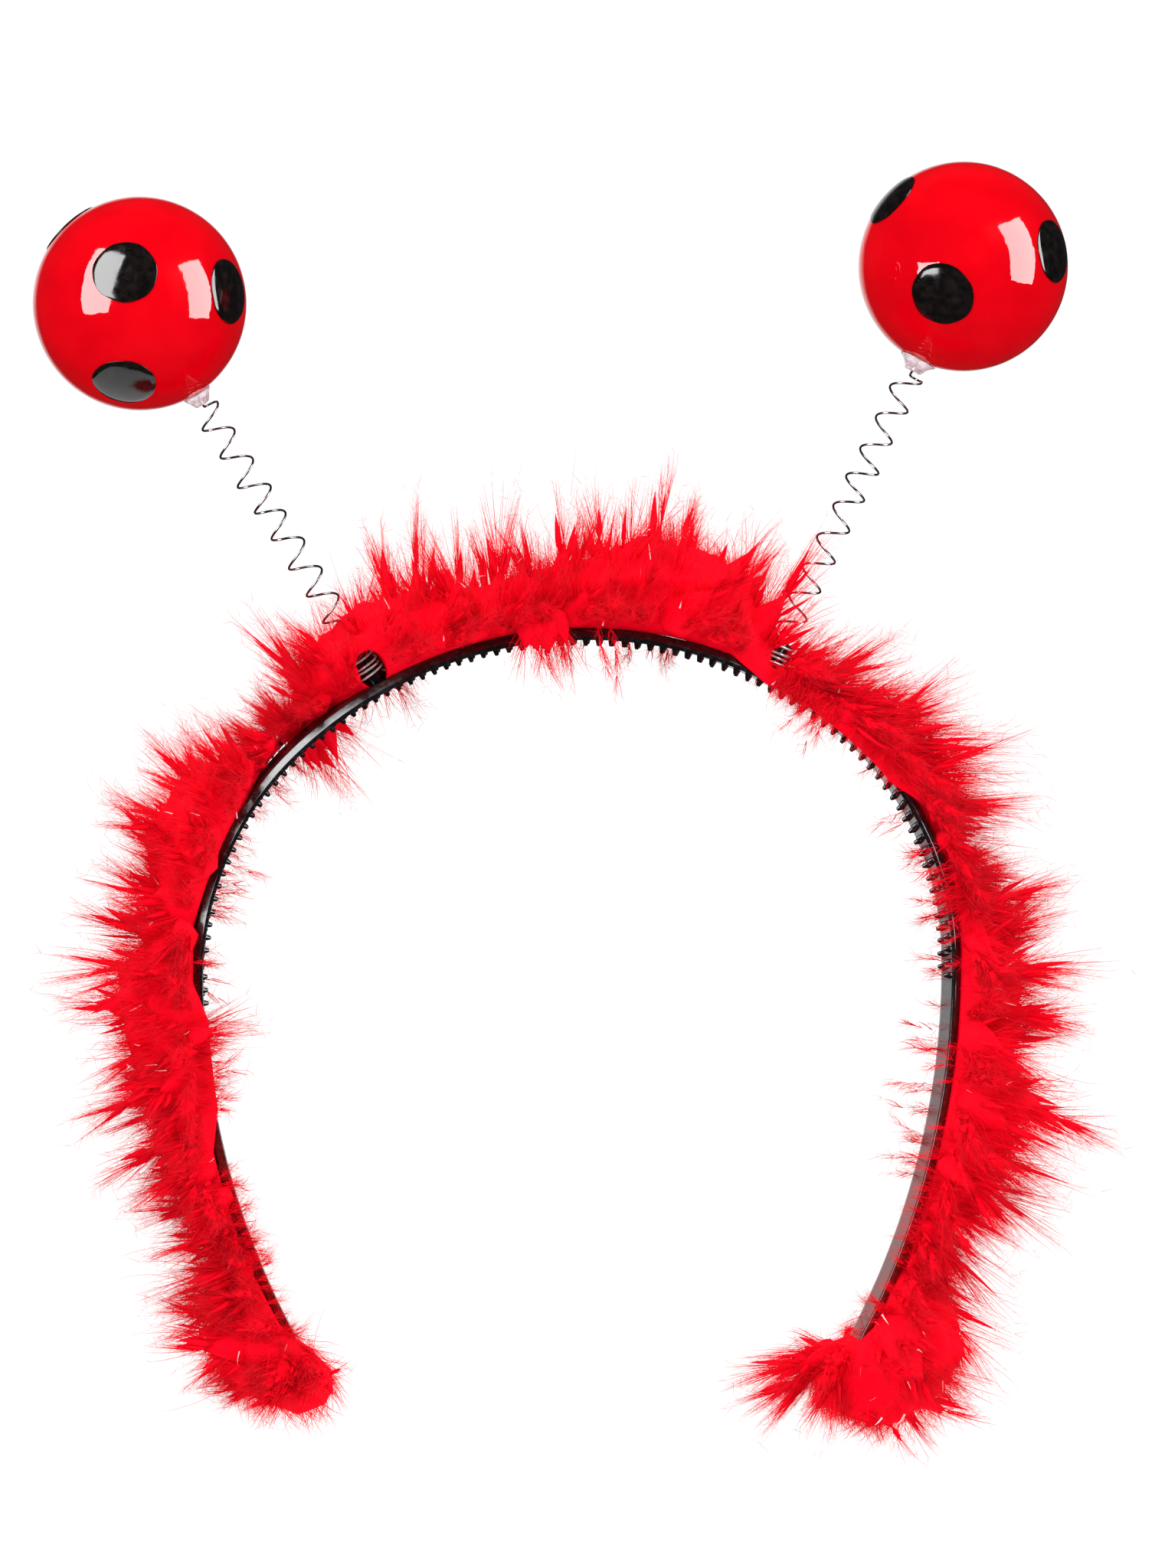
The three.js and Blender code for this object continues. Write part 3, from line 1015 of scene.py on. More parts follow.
@dataclass
class GlueBead:
    """The dab of hot-melt glue between one spring and its ball."""

    antenna: Antenna
    neck: float = 1.5
    waist: float = 2.1
    rim: float = 0.35
    gap: float = 0.05

    def build(self) -> Object:
        """Models a flared, slightly lumpy bead whose top follows the ball."""
        deselect()
        height = self.antenna.glue_height
        bpy.ops.mesh.primitive_cone_add(
            vertices=28,
            radius1=1.0 * MM,
            radius2=2.0 * MM,
            depth=1.0 * MM,
            end_fill_type="TRIFAN",
            location=(0.0, 0.0, 0.5 * MM),
        )
        bead = take_new(f"glue_bead_{self.antenna.side.value}")
        bpy.ops.object.transform_apply(location=True)
        with editing(bead):
            bpy.ops.mesh.select_all(action="SELECT")
            bpy.ops.mesh.subdivide(number_cuts=2)
        rough = points_of(bead)
        share = np.clip(rough[:, 2], 0.0, 1.0)
        angle = np.arctan2(rough[:, 1], rough[:, 0])
        inner = np.hypot(rough[:, 0], rough[:, 1]) / (1.0 + share)
        outline = np.interp(share, [0.0, 0.45, 0.8, 1.0], [self.neck, self.waist, 2.5, self.antenna.smear])
        lumps = 1.0 + 0.1 * np.sin(2 * angle + self.antenna.along) + 0.05 * np.sin(5 * angle + 1.0)
        radius = inner * outline * lumps
        ball = self.antenna.ball_at
        foot = ball - self.antenna.ball_radius - height
        under = ball - np.sqrt(self.antenna.ball_radius**2 - radius**2) - self.gap
        level = foot + (under - foot) * share
        level = np.where((share > 0.99) & (inner > 0.98), under - self.rim * 0.4, level)
        points = np.stack([radius * np.cos(angle), radius * np.sin(angle), level], axis=1)
        move_points(bead, self.antenna.world(points))
        apply_modifier(bead, "SUBSURF", levels=1, render_levels=1)
        smooth(bead, 70.0)
        return bead

    def dress(self, bead: Object, finish: HotMelt, material: Material) -> None:
        """Gives the bead its finish and fixes it to the ball's body."""
        put_on(bead, material, [f"glue_{self.antenna.side.value}"])
        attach(bead, Body.BALL.of(self.antenna.side))


@dataclass
class LadybugBall:
    """One hollow ball with its printed dots."""

    antenna: Antenna
    wall: float = 0.8
    segments: int = 96
    rings: int = 56
    dot_radius: float = 6.0
    dot_thickness: float = 0.22
    dot_lift: float = 0.02
    dot_sides: int = 48
    dot_rings: int = 5
    dot_wobble: float = 0.022

    def shell(self) -> Object:
        """Models the shell from a sphere, with the wire's hole opened at its foot and a wall inside."""
        deselect()
        radius = self.antenna.ball_radius
        bpy.ops.mesh.primitive_uv_sphere_add(
            segments=self.segments, ring_count=self.rings, radius=radius * MM
        )
        ball = take_new(f"ball_shell_{self.antenna.side.value}")
        select_faces(ball, lambda middle: middle.z < -radius * math.cos(math.pi / self.rings * 0.9) * MM)
        with editing(ball):
            bpy.ops.mesh.delete(type="FACE")
        apply_modifier(ball, "SOLIDIFY", thickness=self.wall * MM, offset=-1.0)
        points = points_of(ball) + (0.0, 0.0, self.antenna.ball_at)
        move_points(ball, self.antenna.world(points))
        smooth(ball)
        return ball

    def dot(self, number: int, turn: float, height: float) -> Object:
        """Models one dot flat, with a hand-printed edge, and bends it onto the ball.

        Args:
            number: The dot's number on this ball, from 1.
            turn: Degrees from the front towards +X.
            height: Degrees above the ball's middle.

        Returns:
            The dot.
        """
        deselect()
        bpy.ops.mesh.primitive_circle_add(
            vertices=self.dot_sides, radius=self.dot_radius * MM, fill_type="NGON"
        )
        dot = take_new(f"dot_mark_{self.antenna.side.value}_{number}")
        with editing(dot):
            bpy.ops.mesh.select_all(action="SELECT")
            for _ in range(self.dot_rings - 1):
                bpy.ops.mesh.inset(thickness=self.dot_radius / self.dot_rings * MM)
            bpy.ops.mesh.poke()
        apply_modifier(dot, "SOLIDIFY", thickness=self.dot_thickness * MM, offset=1.0)
        apply_modifier(
            dot,
            "BEVEL",
            width=self.dot_thickness * 0.4 * MM,
            segments=2,
            limit_method="ANGLE",
            angle_limit=SHARP,
        )
        flat = points_of(dot)
        around = np.arctan2(flat[:, 1], flat[:, 0])
        phase = number * 2.4 + self.antenna.along
        edge = np.sin(2 * around + phase) + 0.6 * np.sin(3 * around - phase) + 0.35 * np.sin(7 * around)
        bend = np.hypot(flat[:, 0], flat[:, 1]) * (1 + self.dot_wobble * edge) / self.antenna.ball_radius
        radius = self.antenna.ball_radius + self.dot_lift + flat[:, 2]
        off_axis = radius * np.sin(bend)
        cap = np.stack(
            [off_axis * np.cos(around), off_axis * np.sin(around), radius * np.cos(bend)], axis=1
        )
        t, h = math.radians(turn), math.radians(height)
        facing = Vector((math.sin(t) * math.cos(h), -math.cos(t) * math.cos(h), math.sin(h)))
        axes = np.array(facing.to_track_quat("Z", "Y").to_matrix())
        centre = self.antenna.world(np.array([[0.0, 0.0, self.antenna.ball_at]]))
        move_points(dot, centre + cap @ axes.T)
        smooth(dot)
        return dot

    def build(self) -> tuple[Object, list[Object]]:
        """Models the shell and its dots, and returns both."""
        dots = [self.dot(i + 1, turn, height) for i, (turn, height) in enumerate(self.antenna.dots)]
        return self.shell(), dots

    def dress(
        self,
        pieces: tuple[Object, list[Object]],
        finishes: tuple[GlossShell, DotInk],
        materials: tuple[Material, Material],
    ) -> None:
        """Gives shell and dots their finishes and fixes them to the ball's body."""
        side = self.antenna.side
        shell, dots = pieces
        put_on(shell, materials[0], [f"ball_{side.value}"])
        for number, dot in enumerate(dots, start=1):
            put_on(dot, materials[1], [f"dot_{side.value}_{number}"])
        for piece in (shell, *dots):
            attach(piece, Body.BALL.of(side))


class Rows:
    """Things kept as arrays, a row each, until they are joined into meshes."""

    def kept(self, mask: Array) -> Self:
        """The things that a mask chooses."""
        chosen = {name: value[mask] for name, value in vars(self).items() if isinstance(value, Array)}
        return replace(self, **chosen)


@dataclass
class Barbs(Rows):
    """Curved tapering blades."""

    root: Array
    middle: Array
    tip: Array
    aside: Array
    half_width: Array
    tone: Array
    along: Array
    start_share: Array
    end_share: float
    segments: int

    def arrays(self) -> tuple[Array, Array, Array, Array, Array]:
        """The barbs as flat blades that close to a point, as a feather's own are.

        Returns:
            Vertices, face corners, face sizes, and each vertex's share from root to tip and tone.
        """
        count, steps = len(self.root), self.segments
        shares = np.linspace(0.0, 1.0, steps + 1)
        lines = np.stack(
            [curve_point(self.root, self.middle, self.tip, np.full((count, 1), s)) for s in shares], axis=1
        )
        side = unit(np.cross(self.tip - self.root, self.aside))
        wide = side[:, None, :] * (self.half_width[:, None] * (1.0 - 0.7 * shares[:-1]))[:, :, None]
        edges = np.stack([lines[:, :-1] - wide, lines[:, :-1] + wide], axis=2)
        points = np.concatenate([edges.reshape(count, steps * 2, 3), lines[:, -1:, :]], axis=1)
        faces = [[2 * i, 2 * i + 1, 2 * i + 3, 2 * i + 2] for i in range(steps - 1)]
        faces.append([2 * steps - 2, 2 * steps - 1, 2 * steps])
        per_blade = steps * 2 + 1
        corners, sizes = repeated(faces, per_blade, count)
        level = np.append(np.repeat(shares[:-1], 2), 1.0)
        share = self.start_share[:, None] + (self.end_share - self.start_share[:, None]) * level[None, :]
        share = share * TIP_SHARE
        tone = np.repeat(self.tone, per_blade)
        return points.reshape(-1, 3), corners, sizes, share.ravel(), tone


@dataclass
class Plumes(Rows):
    """Soft plumes: a bowed shaft, and a dense part of some width from its root."""

    root: Array
    middle: Array
    tip: Array
    side: Array
    along: Array
    dense: Array
    half_width: Array
    tone: Array
    flatness: float = 0.62
    rings: int = 5
    sides: int = 7
    colour_share: float = 0.28

    def girth(self, share: Array) -> Array:
        """The dense part's width at a share of its own length: a spindle, fullest a third of the way up."""
        return 3.3 * (share + 0.02) ** 0.6 * (1.0 - share) ** 1.3

    def shaft(self, which: Array, share: Array) -> tuple[Array, ...]:
        """Places on the shafts.

        Args:
            which: The plumes' numbers.
            share: Shares of the shafts, a row each.

        Returns:
            The points, and the directions ahead, to the side and through the plume.
        """
        root, middle, tip = self.root[which], self.middle[which], self.tip[which]
        point = curve_point(root, middle, tip, share)
        ahead = unit((middle - root) * (1.0 - share) + (tip - middle) * share)
        through = unit(np.cross(ahead, self.side[which]))
        return point, ahead, np.cross(through, ahead), through

    def arrays(self) -> tuple[Array, Array, Array, Array, Array]:
        """The dense parts as closed soft flames.

        Returns:
            Vertices, face corners, face sizes, and each vertex's share from root to tip and tone.
        """
        count, rings, sides = len(self.root), self.rings, self.sides
        which = np.arange(count)
        turns = 2 * math.pi * np.arange(sides) / sides
        layers = []
        for share in np.linspace(0.0, 1.0, rings + 1)[:-1]:
            at = (self.dense * share)[:, None]
            point, _, side, through = self.shaft(which, at)
            wide = (self.half_width * self.girth(share))[:, None]
            ring = side[:, None, :] * np.cos(turns)[:, None]
            ring = ring + through[:, None, :] * (self.flatness * np.sin(turns))[:, None]
            layers.append(point[:, None, :] + ring * wide[:, :, None])
        end = self.shaft(which, self.dense[:, None])[0]
        points = np.concatenate([*layers, end[:, None, :]], axis=1)
        faces = [list(range(sides))[::-1]]
        for ring in range(rings):
            for i in range(sides):
                low = [ring * sides + i, ring * sides + (i + 1) % sides]
                above = [low[1] + sides, low[0] + sides]
                faces.append(low + (above if ring + 1 < rings else [rings * sides]))
        per_lobe = rings * sides + 1
        corners, sizes = repeated(faces, per_lobe, count)
        share = np.full(count * per_lobe, self.colour_share)
        return points.reshape(-1, 3), corners, sizes, share, np.repeat(self.tone, per_lobe)


@dataclass
class FeatherTrim:
    """The marabou trim: a soft dense body of plumes on the band's outer face, and their barbs and down."""

    step: float = 6.2
    middle: float = 3.0
    angles: int = 9
    sweep: float = 100.0
    side_share: float = 0.62
    tuft_share: Pair = (0.92, 1.18)
    hollow_share: Pair = (0.62, 0.86)
    straying: float = 2.2
    # How far apart the locks that plumes gather to stand, how far plumes lean to them, how tall the plumes in
    # a lock's middle are, how much shorter those on its border, and how far off that is.
    gather_mm: Pair = (10.0, 21.0)
    gather_pull: Pair = (0.35, 0.85)
    gather_tall: float = 1.2
    gather_short: float = 0.34
    gather_span: float = 8.0
    # How far past the tip each end ring stands, its share of the reach, and how far it wraps inside.
    ends: tuple[tuple[float, float, float], ...] = (
        (-16.0, 0.95, 0.0),
        (-9.0, 0.95, 0.0),
        (-2.0, 0.88, 3.0),
        (4.0, 0.62, 5.0),
    )
    # The trim's clumps and the hollows between them, from the left tip to the right one: length along the
    # band, how far the tips reach, how far the dense part reaches, and how far the tips lean to the right.
    clumps: tuple[tuple[float, float, float, float], ...] = (
        (-188, 21, 15, 6),
        (-174, 24, 17, 6),
        (-160, 19, 6.5, 4),
        (-150, 17, 8.5, -2),
        (-136, 20, 10, -5),
        (-120, 24, 14, -2),
        (-104, 27, 16, 2),
        (-96, 18, 6.5, 0),
        (-82, 24, 16, 2),
        (-72, 25, 15, -1),
        (-62, 12, 1, -2),
        (-54, 14, 1, 0),
        (-46, 24, 13, 0),
        (-34, 27, 17, 4),
        (-16, 23, 11.5, 1),
        (-2, 25, 14, 0),
        (12, 32, 22.5, 3),
        (24, 30, 22.5, 5),
        (34, 24, 10, 3),
        (42, 14, 2, 8),
        (54, 16, 6.5, 8),
        (64, 25, 6, 9),
        (78, 20, 5, 8),
        (88, 12, 1, 6),
        (98, 21, 10, 3),
        (112, 28, 15, 0),
        (122, 27, 14.5, 3),
        (138, 31, 19, 6),
        (152, 26, 12, 5),
        (166, 18, 3, 4),
        (176, 32, 24.5, 4),
        (188, 30, 24, 0),
    )
    # Locks that stray past the band's edges towards its inside: where along the band, half their spread,
    # how many, how far they hang inside, the share of them in front, and the share of them that is dense.
    strays: tuple[tuple[float, float, int, float, float, float], ...] = (
        (-160.0, 16.0, 32, 1.8, 0.9, 0.0),
        (-150.0, 8.0, 6, 4.0, 0.3, 0.0),
        (-128.0, 5.0, 9, 8.0, 0.2, 0.0),
        (-121.0, 9.0, 24, 3.0, 0.8, 0.0),
        (-117.0, 2.0, 12, 10.5, 0.3, 0.4),
        (-104.0, 7.0, 9, 6.0, 0.2, 0.0),
        (-90.0, 6.0, 12, 9.0, 0.1, 0.0),
        (-76.0, 6.0, 10, 5.0, 0.0, 0.0),
        (-62.0, 5.0, 10, 6.0, 0.0, 0.0),
        (-52.0, 3.5, 18, 13.0, 0.0, 0.55),
        (-39.0, 2.5, 7, 7.5, 0.0, 0.5),
        (-33.0, 2.0, 6, 8.0, 0.0, 0.4),
        (-7.0, 3.0, 11, 8.0, 0.9, 0.45),
        (1.0, 5.0, 10, 7.0, 0.4, 0.0),
        (18.0, 8.0, 7, 5.0, 0.2, 0.0),
        (54.0, 17.0, 44, 2.0, 0.9, 0.0),
        (94.0, 4.0, 15, 3.0, 0.9, 0.0),
        (50.0, 6.0, 10, 6.0, 0.6, 0.0),
        (84.0, 7.0, 10, 6.0, 0.5, 0.0),
        (104.0, 8.0, 11, 5.0, 0.4, 0.0),
        (124.0, 7.0, 9, 6.0, 0.3, 0.0),
        (140.0, 9.0, 10, 7.0, 0.3, 0.0),
        (158.0, 20.0, 30, 1.8, 0.9, 0.0),
    )
    body_share: float = 0.74
    body_flare: float = 0.62
    past_tip: float = 9.0
    left_short: float = 6.0
    body_steps: int = 420
    body_sides: int = 40
    fold_mm: float = 13.0
    fold_depth: float = 0.16
    # Where the trim hangs over the band's front edge: length along the band, and how far down.
    drapes: tuple[Pair, ...] = (
        (-138, 0.0),
        (-130, 2.4),
        (-113, 2.4),
        (-106, 0.0),
        (30, 0.0),
        (38, 3.0),
        (70, 3.0),
        (77, 0.0),
    )
    # The body's foot on the band: its share of the roll, its half width and how far off the band it lies.
    foot_share: float = 0.1
    foot_half: float = 4.1
    foot_lift: float = 0.06
    # The least and most half width of a plume's dense part, of a lock's heart and of each kind of thread,
    # and their least and most lengths; a heart's is a share of its lock.
    lobe_width: Pair = (3.2, 5.0)
    lock_width: Pair = (0.45, 0.85)
    lock_length: Pair = (0.4, 0.72)
    barb_width: Pair = (0.035, 0.1)
    shaft_width: Pair = (0.06, 0.1)
    hair_width: Pair = (0.03, 0.05)
    hair_length: Pair = (7.0, 13.0)
    fluff_width: Pair = (0.02, 0.036)
    fluff_length: Pair = (1.4, 4.4)
    coat_width: Pair = (0.04, 0.08)
    coat_length: Pair = (3.5, 8.0)
    coat_lift: float = -0.4
    quill_width: Pair = (0.1, 0.2)
    quill_length: Pair = (1.2, 3.2)
    quill_lift: float = 2.6
    # The sprays of plumes at the two tips: which tip, their lengths, how much they point on past it, and how
    # far round it they go. They stand so far back from it.
    sprays: tuple[tuple[float, Pair, float, float], ...] = (
        (-1.0, (10.0, 19.0), 0.0, 1.9),
        (1.0, (16.0, 27.0), 0.35, math.pi),
    )
    spray_back: Pair = (5.0, 17.0)
    # The coat is shorter where the body is thinner than this, down to this share.
    coat_full: float = 12.0
    coat_least: float = 0.45
    # Over how much of each end barbs lie towards the tip, and how much of it may wrap inside.
    end_turn: float = 18.0
    end_free: float = 14.0
    # Where the trim is glued further back and bares the band's outer face, over what half length, how far.
    bared: tuple[float, float, float] = (-55.0, 11.0, 7.0)
    barbs_per_plume: int = 128
    locks_per_plume: int = 7
    barbs_per_stray: int = 22
    coat_count: int = 15000
    quill_count: int = 170
    down_count: int = 172000
    hair_count: int = 480
    spray_count: int = 30
    sections: int = 7
    # Room for the springs: a bore round each, the swing towards the crown, and the parting before its stud.
    spring_clear: float = 3.1
    bore: Pair = (-3.0, 45.0)
    bore_cut: Pair = (-4.0, 56.0)
    swing_from: float = 5.6
    swing: float = 27.0
    swing_reach: float = 40.0
    window_at: float = 3.2
    window_depth: float = 30.0
    window_tall: float = 1.35
    lobe_clear: float = 0.3
    front_clear: float = 0.6
    seed: int = 11
    rng: np.random.Generator = field(init=False)

    def __post_init__(self) -> None:
        """Starts the fixed sequence of random draws."""
        self.rng = np.random.default_rng(self.seed)

    @staticmethod
    def scatter(i: float, j: float) -> float:
        """A value from 0 to 1 that looks random, as the part's own tufts use."""
        wave = math.sin(i * 12.9898 + j * 78.233) * 43758.5453
        return wave - math.floor(wave)

    def clump_at(self, along: Array) -> tuple[Array, Array, Array]:
        """How far the tips and the dense part reach, and how far the tips lean, along the band."""
        where, *columns = np.array(self.clumps).T
        return tuple(np.interp(along, where, column) for column in columns)

    def set_back(self, along: Array) -> Array:
        """How far back the trim is glued at a length along the band."""
        middle, half, depth = self.bared
        return depth * np.exp(-(((along - middle) / half) ** 2))

    def end_share(self, along: Array) -> Array:
        """How far into the trim's ends a length along the band lies, from 0 to 1 at the band's tip."""
        return np.clip((np.abs(along) - CURVE.half_length + self.end_turn) / self.end_turn, 0.0, 1.0)

    def wrap_at(self, along: Array) -> tuple[Array, Array]:
        """The share of the body's size, and how far it wraps inside, near the band's tips."""
        past = np.abs(along) - CURVE.half_length + np.where(along < 0, self.left_short, 0.0)
        stations = [row[0] for row in self.ends] + [self.past_tip - 1.5, self.past_tip]
        size = np.interp(past, stations, [1.0, 1.0, 0.96, 0.84, 0.56, 0.0])
        inside = np.interp(past, stations, [row[2] for row in self.ends] + [4.0, 2.0])
        return size, inside

    def rings(self) -> list[tuple[float, int, float, float]]:
        """The rings that plumes stand on: where along, number, share of the reach, how far inside."""
        first = -CURVE.half_length - self.ends[0][0]
        count = math.ceil((-2 * first - 2 * self.step) / self.step) + 1
        alongs = np.linspace(first + self.step, -first - self.step, count)
        rings = [(float(along), count + i, 1.0, 0.0) for i, along in enumerate(alongs)]
        for i, (past, size, inside) in enumerate(self.ends):
            rings.append((self.left_short - CURVE.half_length - past, count - 1 - i, size, inside))
            rings.append((CURVE.half_length + past, count + i, size, inside))
        return rings

    def gathered(self, along: Array, group: Array) -> Array:
        """The middles of the locks that plumes gather to, each group of plumes to its own.

        Args:
            along: The plumes' lengths along the band.
            group: The number of each plume's group.

        Returns:
            The lengths along the band of the nearest middles.
        """
        middles = np.empty(len(along))
        for number in np.unique(group):
            steps = self.rng.uniform(*self.gather_mm, 45)
            stands = np.cumsum(steps) - CURVE.half_length - 25.0
            chosen = group == number
            middles[chosen] = stands[np.searchsorted((stands[1:] + stands[:-1]) / 2, along[chosen])]
        return middles

    def plumed(self, roots: Array, tips: Array, along: Array, dense: Array, wide: Array) -> Plumes:
        """Gives plumes their bow, their flat side and their shade.

        Args:
            roots: Where the shafts start, a row each.
            tips: Where they end.
            along: Their lengths along the band.
            dense: The share of each shaft that is dense.
            wide: Half the dense part's width, or 0 where there is none.

        Returns:
            The plumes.
        """
        rng = self.rng
        count = len(roots)
        span = np.linalg.norm(tips - roots, axis=1, keepdims=True)
        middle = (roots + tips) / 2 + rng.normal(0.0, 0.08, (count, 3)) * span
        _, _, tangent = CURVE.at(along)
        side = unit(tangent + rng.normal(0.0, 0.35, (count, 3)))
        tone = np.clip(rng.normal(0.5, 0.2, count), 0.0, 1.0)
        return Plumes(roots, middle, tips, side, along, dense, wide, tone)

    def main_plumes(self) -> Plumes:
        """The plumes that stand all round the outer side, ring by ring."""
        rng = self.rng
        rows = []
        for along, number, size, inside in self.rings():
            for j in range(self.angles):
                turn = -self.sweep + 2 * self.sweep * j / (self.angles - 1)
                low, high = self.hollow_share if (number + j) % 2 else self.tuft_share
                share = low + (high - low) * self.scatter(number, j)
                rows.append((along, size, inside, math.radians(turn), share, j // 3))
        along, size, inside, turn, share, group = np.array(rows).T
        reach, dense, lean = self.clump_at(along)
        side = 1 + (self.side_share - 1) * (np.abs(turn) / math.radians(self.sweep)) ** 1.5
        off = self.gathered(along, group) - along
        border = np.minimum(np.abs(off) / self.gather_span, 1.0)
        share = share * (self.gather_tall - self.gather_short * border)
        radius = reach * size * side * np.minimum(share, self.tuft_share[1])
        lean = lean + rng.normal(0.0, self.straying, len(along))
        lean += off * rng.uniform(*self.gather_pull, len(along))
        back = self.set_back(along)
        base = CURVE.sized(CURVE.thickness, along) + 1.2 - 0.5 * inside
        out = np.maximum(self.middle - 0.4 * inside + radius * np.cos(turn), base + 3.0 - inside)
        tips = CURVE.place(along + lean, out, radius * np.sin(turn) + back)
        roots = CURVE.place(along - 0.3 * lean, base, 3.4 * np.sin(turn) + 0.8 * back)
        dense_share = np.clip(dense / reach * rng.uniform(0.75, 1.0, len(along)), 0.25, 0.68)
        wide = rng.uniform(*self.lobe_width, len(along)) * np.clip(radius / 20.0, 0.55, 1.1)
        wide *= np.interp(np.abs(np.degrees(turn)), [30.0, 55.0, 62.0], [1.0, 0.9, 0.0])
        return self.plumed(roots, tips, along, dense_share, wide)

    def end_plumes(self, side: float, size: Pair, ahead: float, spread: float) -> Plumes:
        """Plumes that splay past one tip of the band, on all sides of it.

        Args:
            side: -1 for the left tip, 1 for the right one.
            size: Their least and most length.
            ahead: How much they point on past the tip, next to outwards.
            spread: How far round they go from straight out, in radians.

        Returns:
            The plumes.
        """
        rng = self.rng
        around = rng.uniform(-spread, spread, self.spray_count)
        before = rng.uniform(*self.spray_back, self.spray_count)
        before = before * np.clip(0.55 + 0.5 * np.cos(around), 0.15, 1.0)
        along = side * (CURVE.half_length - before)
        splay = rng.uniform(0.25, 1.0, self.spray_count)
        length = rng.uniform(*size, self.spray_count)
        _, normal, tangent = CURVE.at(along)
        way = tangent * side * ahead + normal * (np.cos(around) * splay + 0.3)[:, None]
        way[:, 1] += np.sin(around) * splay
        roots = CURVE.place(along, 1.0 + 3.0 * np.cos(around), 4.5 * np.sin(around))
        dense = rng.uniform(0.45, 0.65, self.spray_count)
        wide = rng.uniform(1.8, 3.0, self.spray_count)
        return self.plumed(roots, roots + unit(way) * length[:, None], along, dense, wide)

    def stray_plumes(self) -> Plumes:
        """Thin locks that hang over the band's edges towards its inside."""
        rng = self.rng
        rows = []
        for middle, spread, number, hang, front, dense in self.strays:
            for _ in range(number):
                edge = -1.0 if rng.random() < front else 1.0
                drop = hang * rng.uniform(0.3, 1.35)
                rows.append((middle + spread * rng.uniform(-1.0, 1.0), edge, drop, dense))
        along, edge, drop, dense = np.array(rows).T
        half = CURVE.sized(CURVE.width, along) / 2
        wide = np.where(dense > 0.6, rng.uniform(3.2, 4.6, len(along)), rng.uniform(1.2, 2.4, len(along)))
        clear = np.where(dense > 0.0, wide * 0.62, 0.0)
        roots = CURVE.place(along, rng.uniform(4.0, 7.0, len(along)), edge * (half + 1.0 + clear))
        slant = rng.normal(0.0, 0.35, len(along)) * np.maximum(drop, 4.0)
        spread = half + 1.4 + clear + rng.uniform(0.0, 2.0, len(along))
        tips = CURVE.place(along + slant, -drop, edge * spread)
        return self.plumed(roots, tips, along, np.maximum(dense, 0.05), np.where(dense > 0.0, wide, 0.0))

    def blades(
        self,
        line: tuple[Array, Array, Array],
        half_width: Pair,
        tone: Array,
        along: Array,
        share: Array,
        segments: int,
        end_share: float = 1.0,
    ) -> Barbs:
        """Barbs of random width, each turned its own way about its line.

        Args:
            line: Their roots, middles and tips.
            half_width: The least and most half width.
            tone: Their shade, a value each.
            along: Their lengths along the band.
            share: Where each starts on the way from root to tip colour.
            segments: How many straight stretches each has.
            end_share: Where they end on the way from root to tip colour.

        Returns:
            The barbs.
        """
        count = len(along)
        _, outward, _ = CURVE.at(along)
        aside = outward * 0.5 + unit(self.rng.normal(0.0, 1.0, (count, 3)))
        wide = self.rng.uniform(*half_width, count)
        return Barbs(*line, aside, wide, tone, along, share, end_share, segments)

    def barbs(self, plumes: Plumes, per_plume: int) -> tuple[Barbs, Plumes]:
        """Grows barbs off plumes, from their dense part or along a bare shaft, gathered in locks.

        Args:
            plumes: The plumes.
            per_plume: How many barbs each has.

        Returns:
            The barbs, and the locks' own dense hearts.
        """
        rng = self.rng
        which = np.repeat(np.arange(len(plumes.root)), per_plume)
        count = len(which)
        lock = rng.integers(0, self.locks_per_plume, count)
        lock_turn = rng.uniform(0.0, 2 * math.pi, (len(plumes.root), self.locks_per_plume))
        lock_share = rng.uniform(0.3, 1.0, (len(plumes.root), self.locks_per_plume))
        turn, heart = lock_turn[which, lock][:, None], lock_share[which, lock][:, None]
        hearts = self.hearts(plumes, lock_turn, lock_share)
        around = turn + rng.normal(0.0, 0.7, (count, 1))
        share = np.clip(heart + rng.normal(0.0, 0.22, (count, 1)), 0.02, 1.0)
        own = self.barb_line(plumes, which, share, around, rng.uniform(0.25, 1.15, (count, 1)))
        together = self.barb_line(plumes, which, heart, turn, np.full((count, 1), 1.1))
        pull = rng.uniform(0.1, 0.75, (count, 1))
        tip = own[2] + (together[2] - own[2]) * pull
        middle = own[1] + (together[1] - own[1]) * pull * 0.4 + rng.normal(0.0, 0.5, (count, 3))
        tone = np.clip(plumes.tone[which] + rng.normal(0.0, 0.1, count), 0.0, 1.0)
        start_share = np.full(count, 0.35)
        line = (own[0], middle, tip)
        return self.blades(line, self.barb_width, tone, plumes.along[which], start_share, 3), hearts

    def hearts(self, plumes: Plumes, turn: Array, share: Array) -> Plumes:
        """The dense hearts of the locks: thin flames among their barbs.

        Args:
            plumes: The plumes that carry them.
            turn: On which side of its shaft each lock leaves, a row for each plume.
            share: Where along its shaft.

        Returns:
            The hearts.
        """
        rng = self.rng
        count = turn.size
        which = np.repeat(np.arange(len(plumes.root)), self.locks_per_plume)
        size = rng.uniform(*self.lock_length, (count, 1))
        line = self.barb_line(plumes, which, share.reshape(-1, 1), turn.reshape(-1, 1), size)
        tone = np.clip(plumes.tone[which] + rng.normal(0.0, 0.1, count), 0.0, 1.0)
        wide = rng.uniform(*self.lock_width, count)
        side = unit(rng.normal(0.0, 1.0, (count, 3)))
        full = np.ones(count)
        return Plumes(*line, side, plumes.along[which], full, wide, tone, rings=3, sides=5, colour_share=0.3)

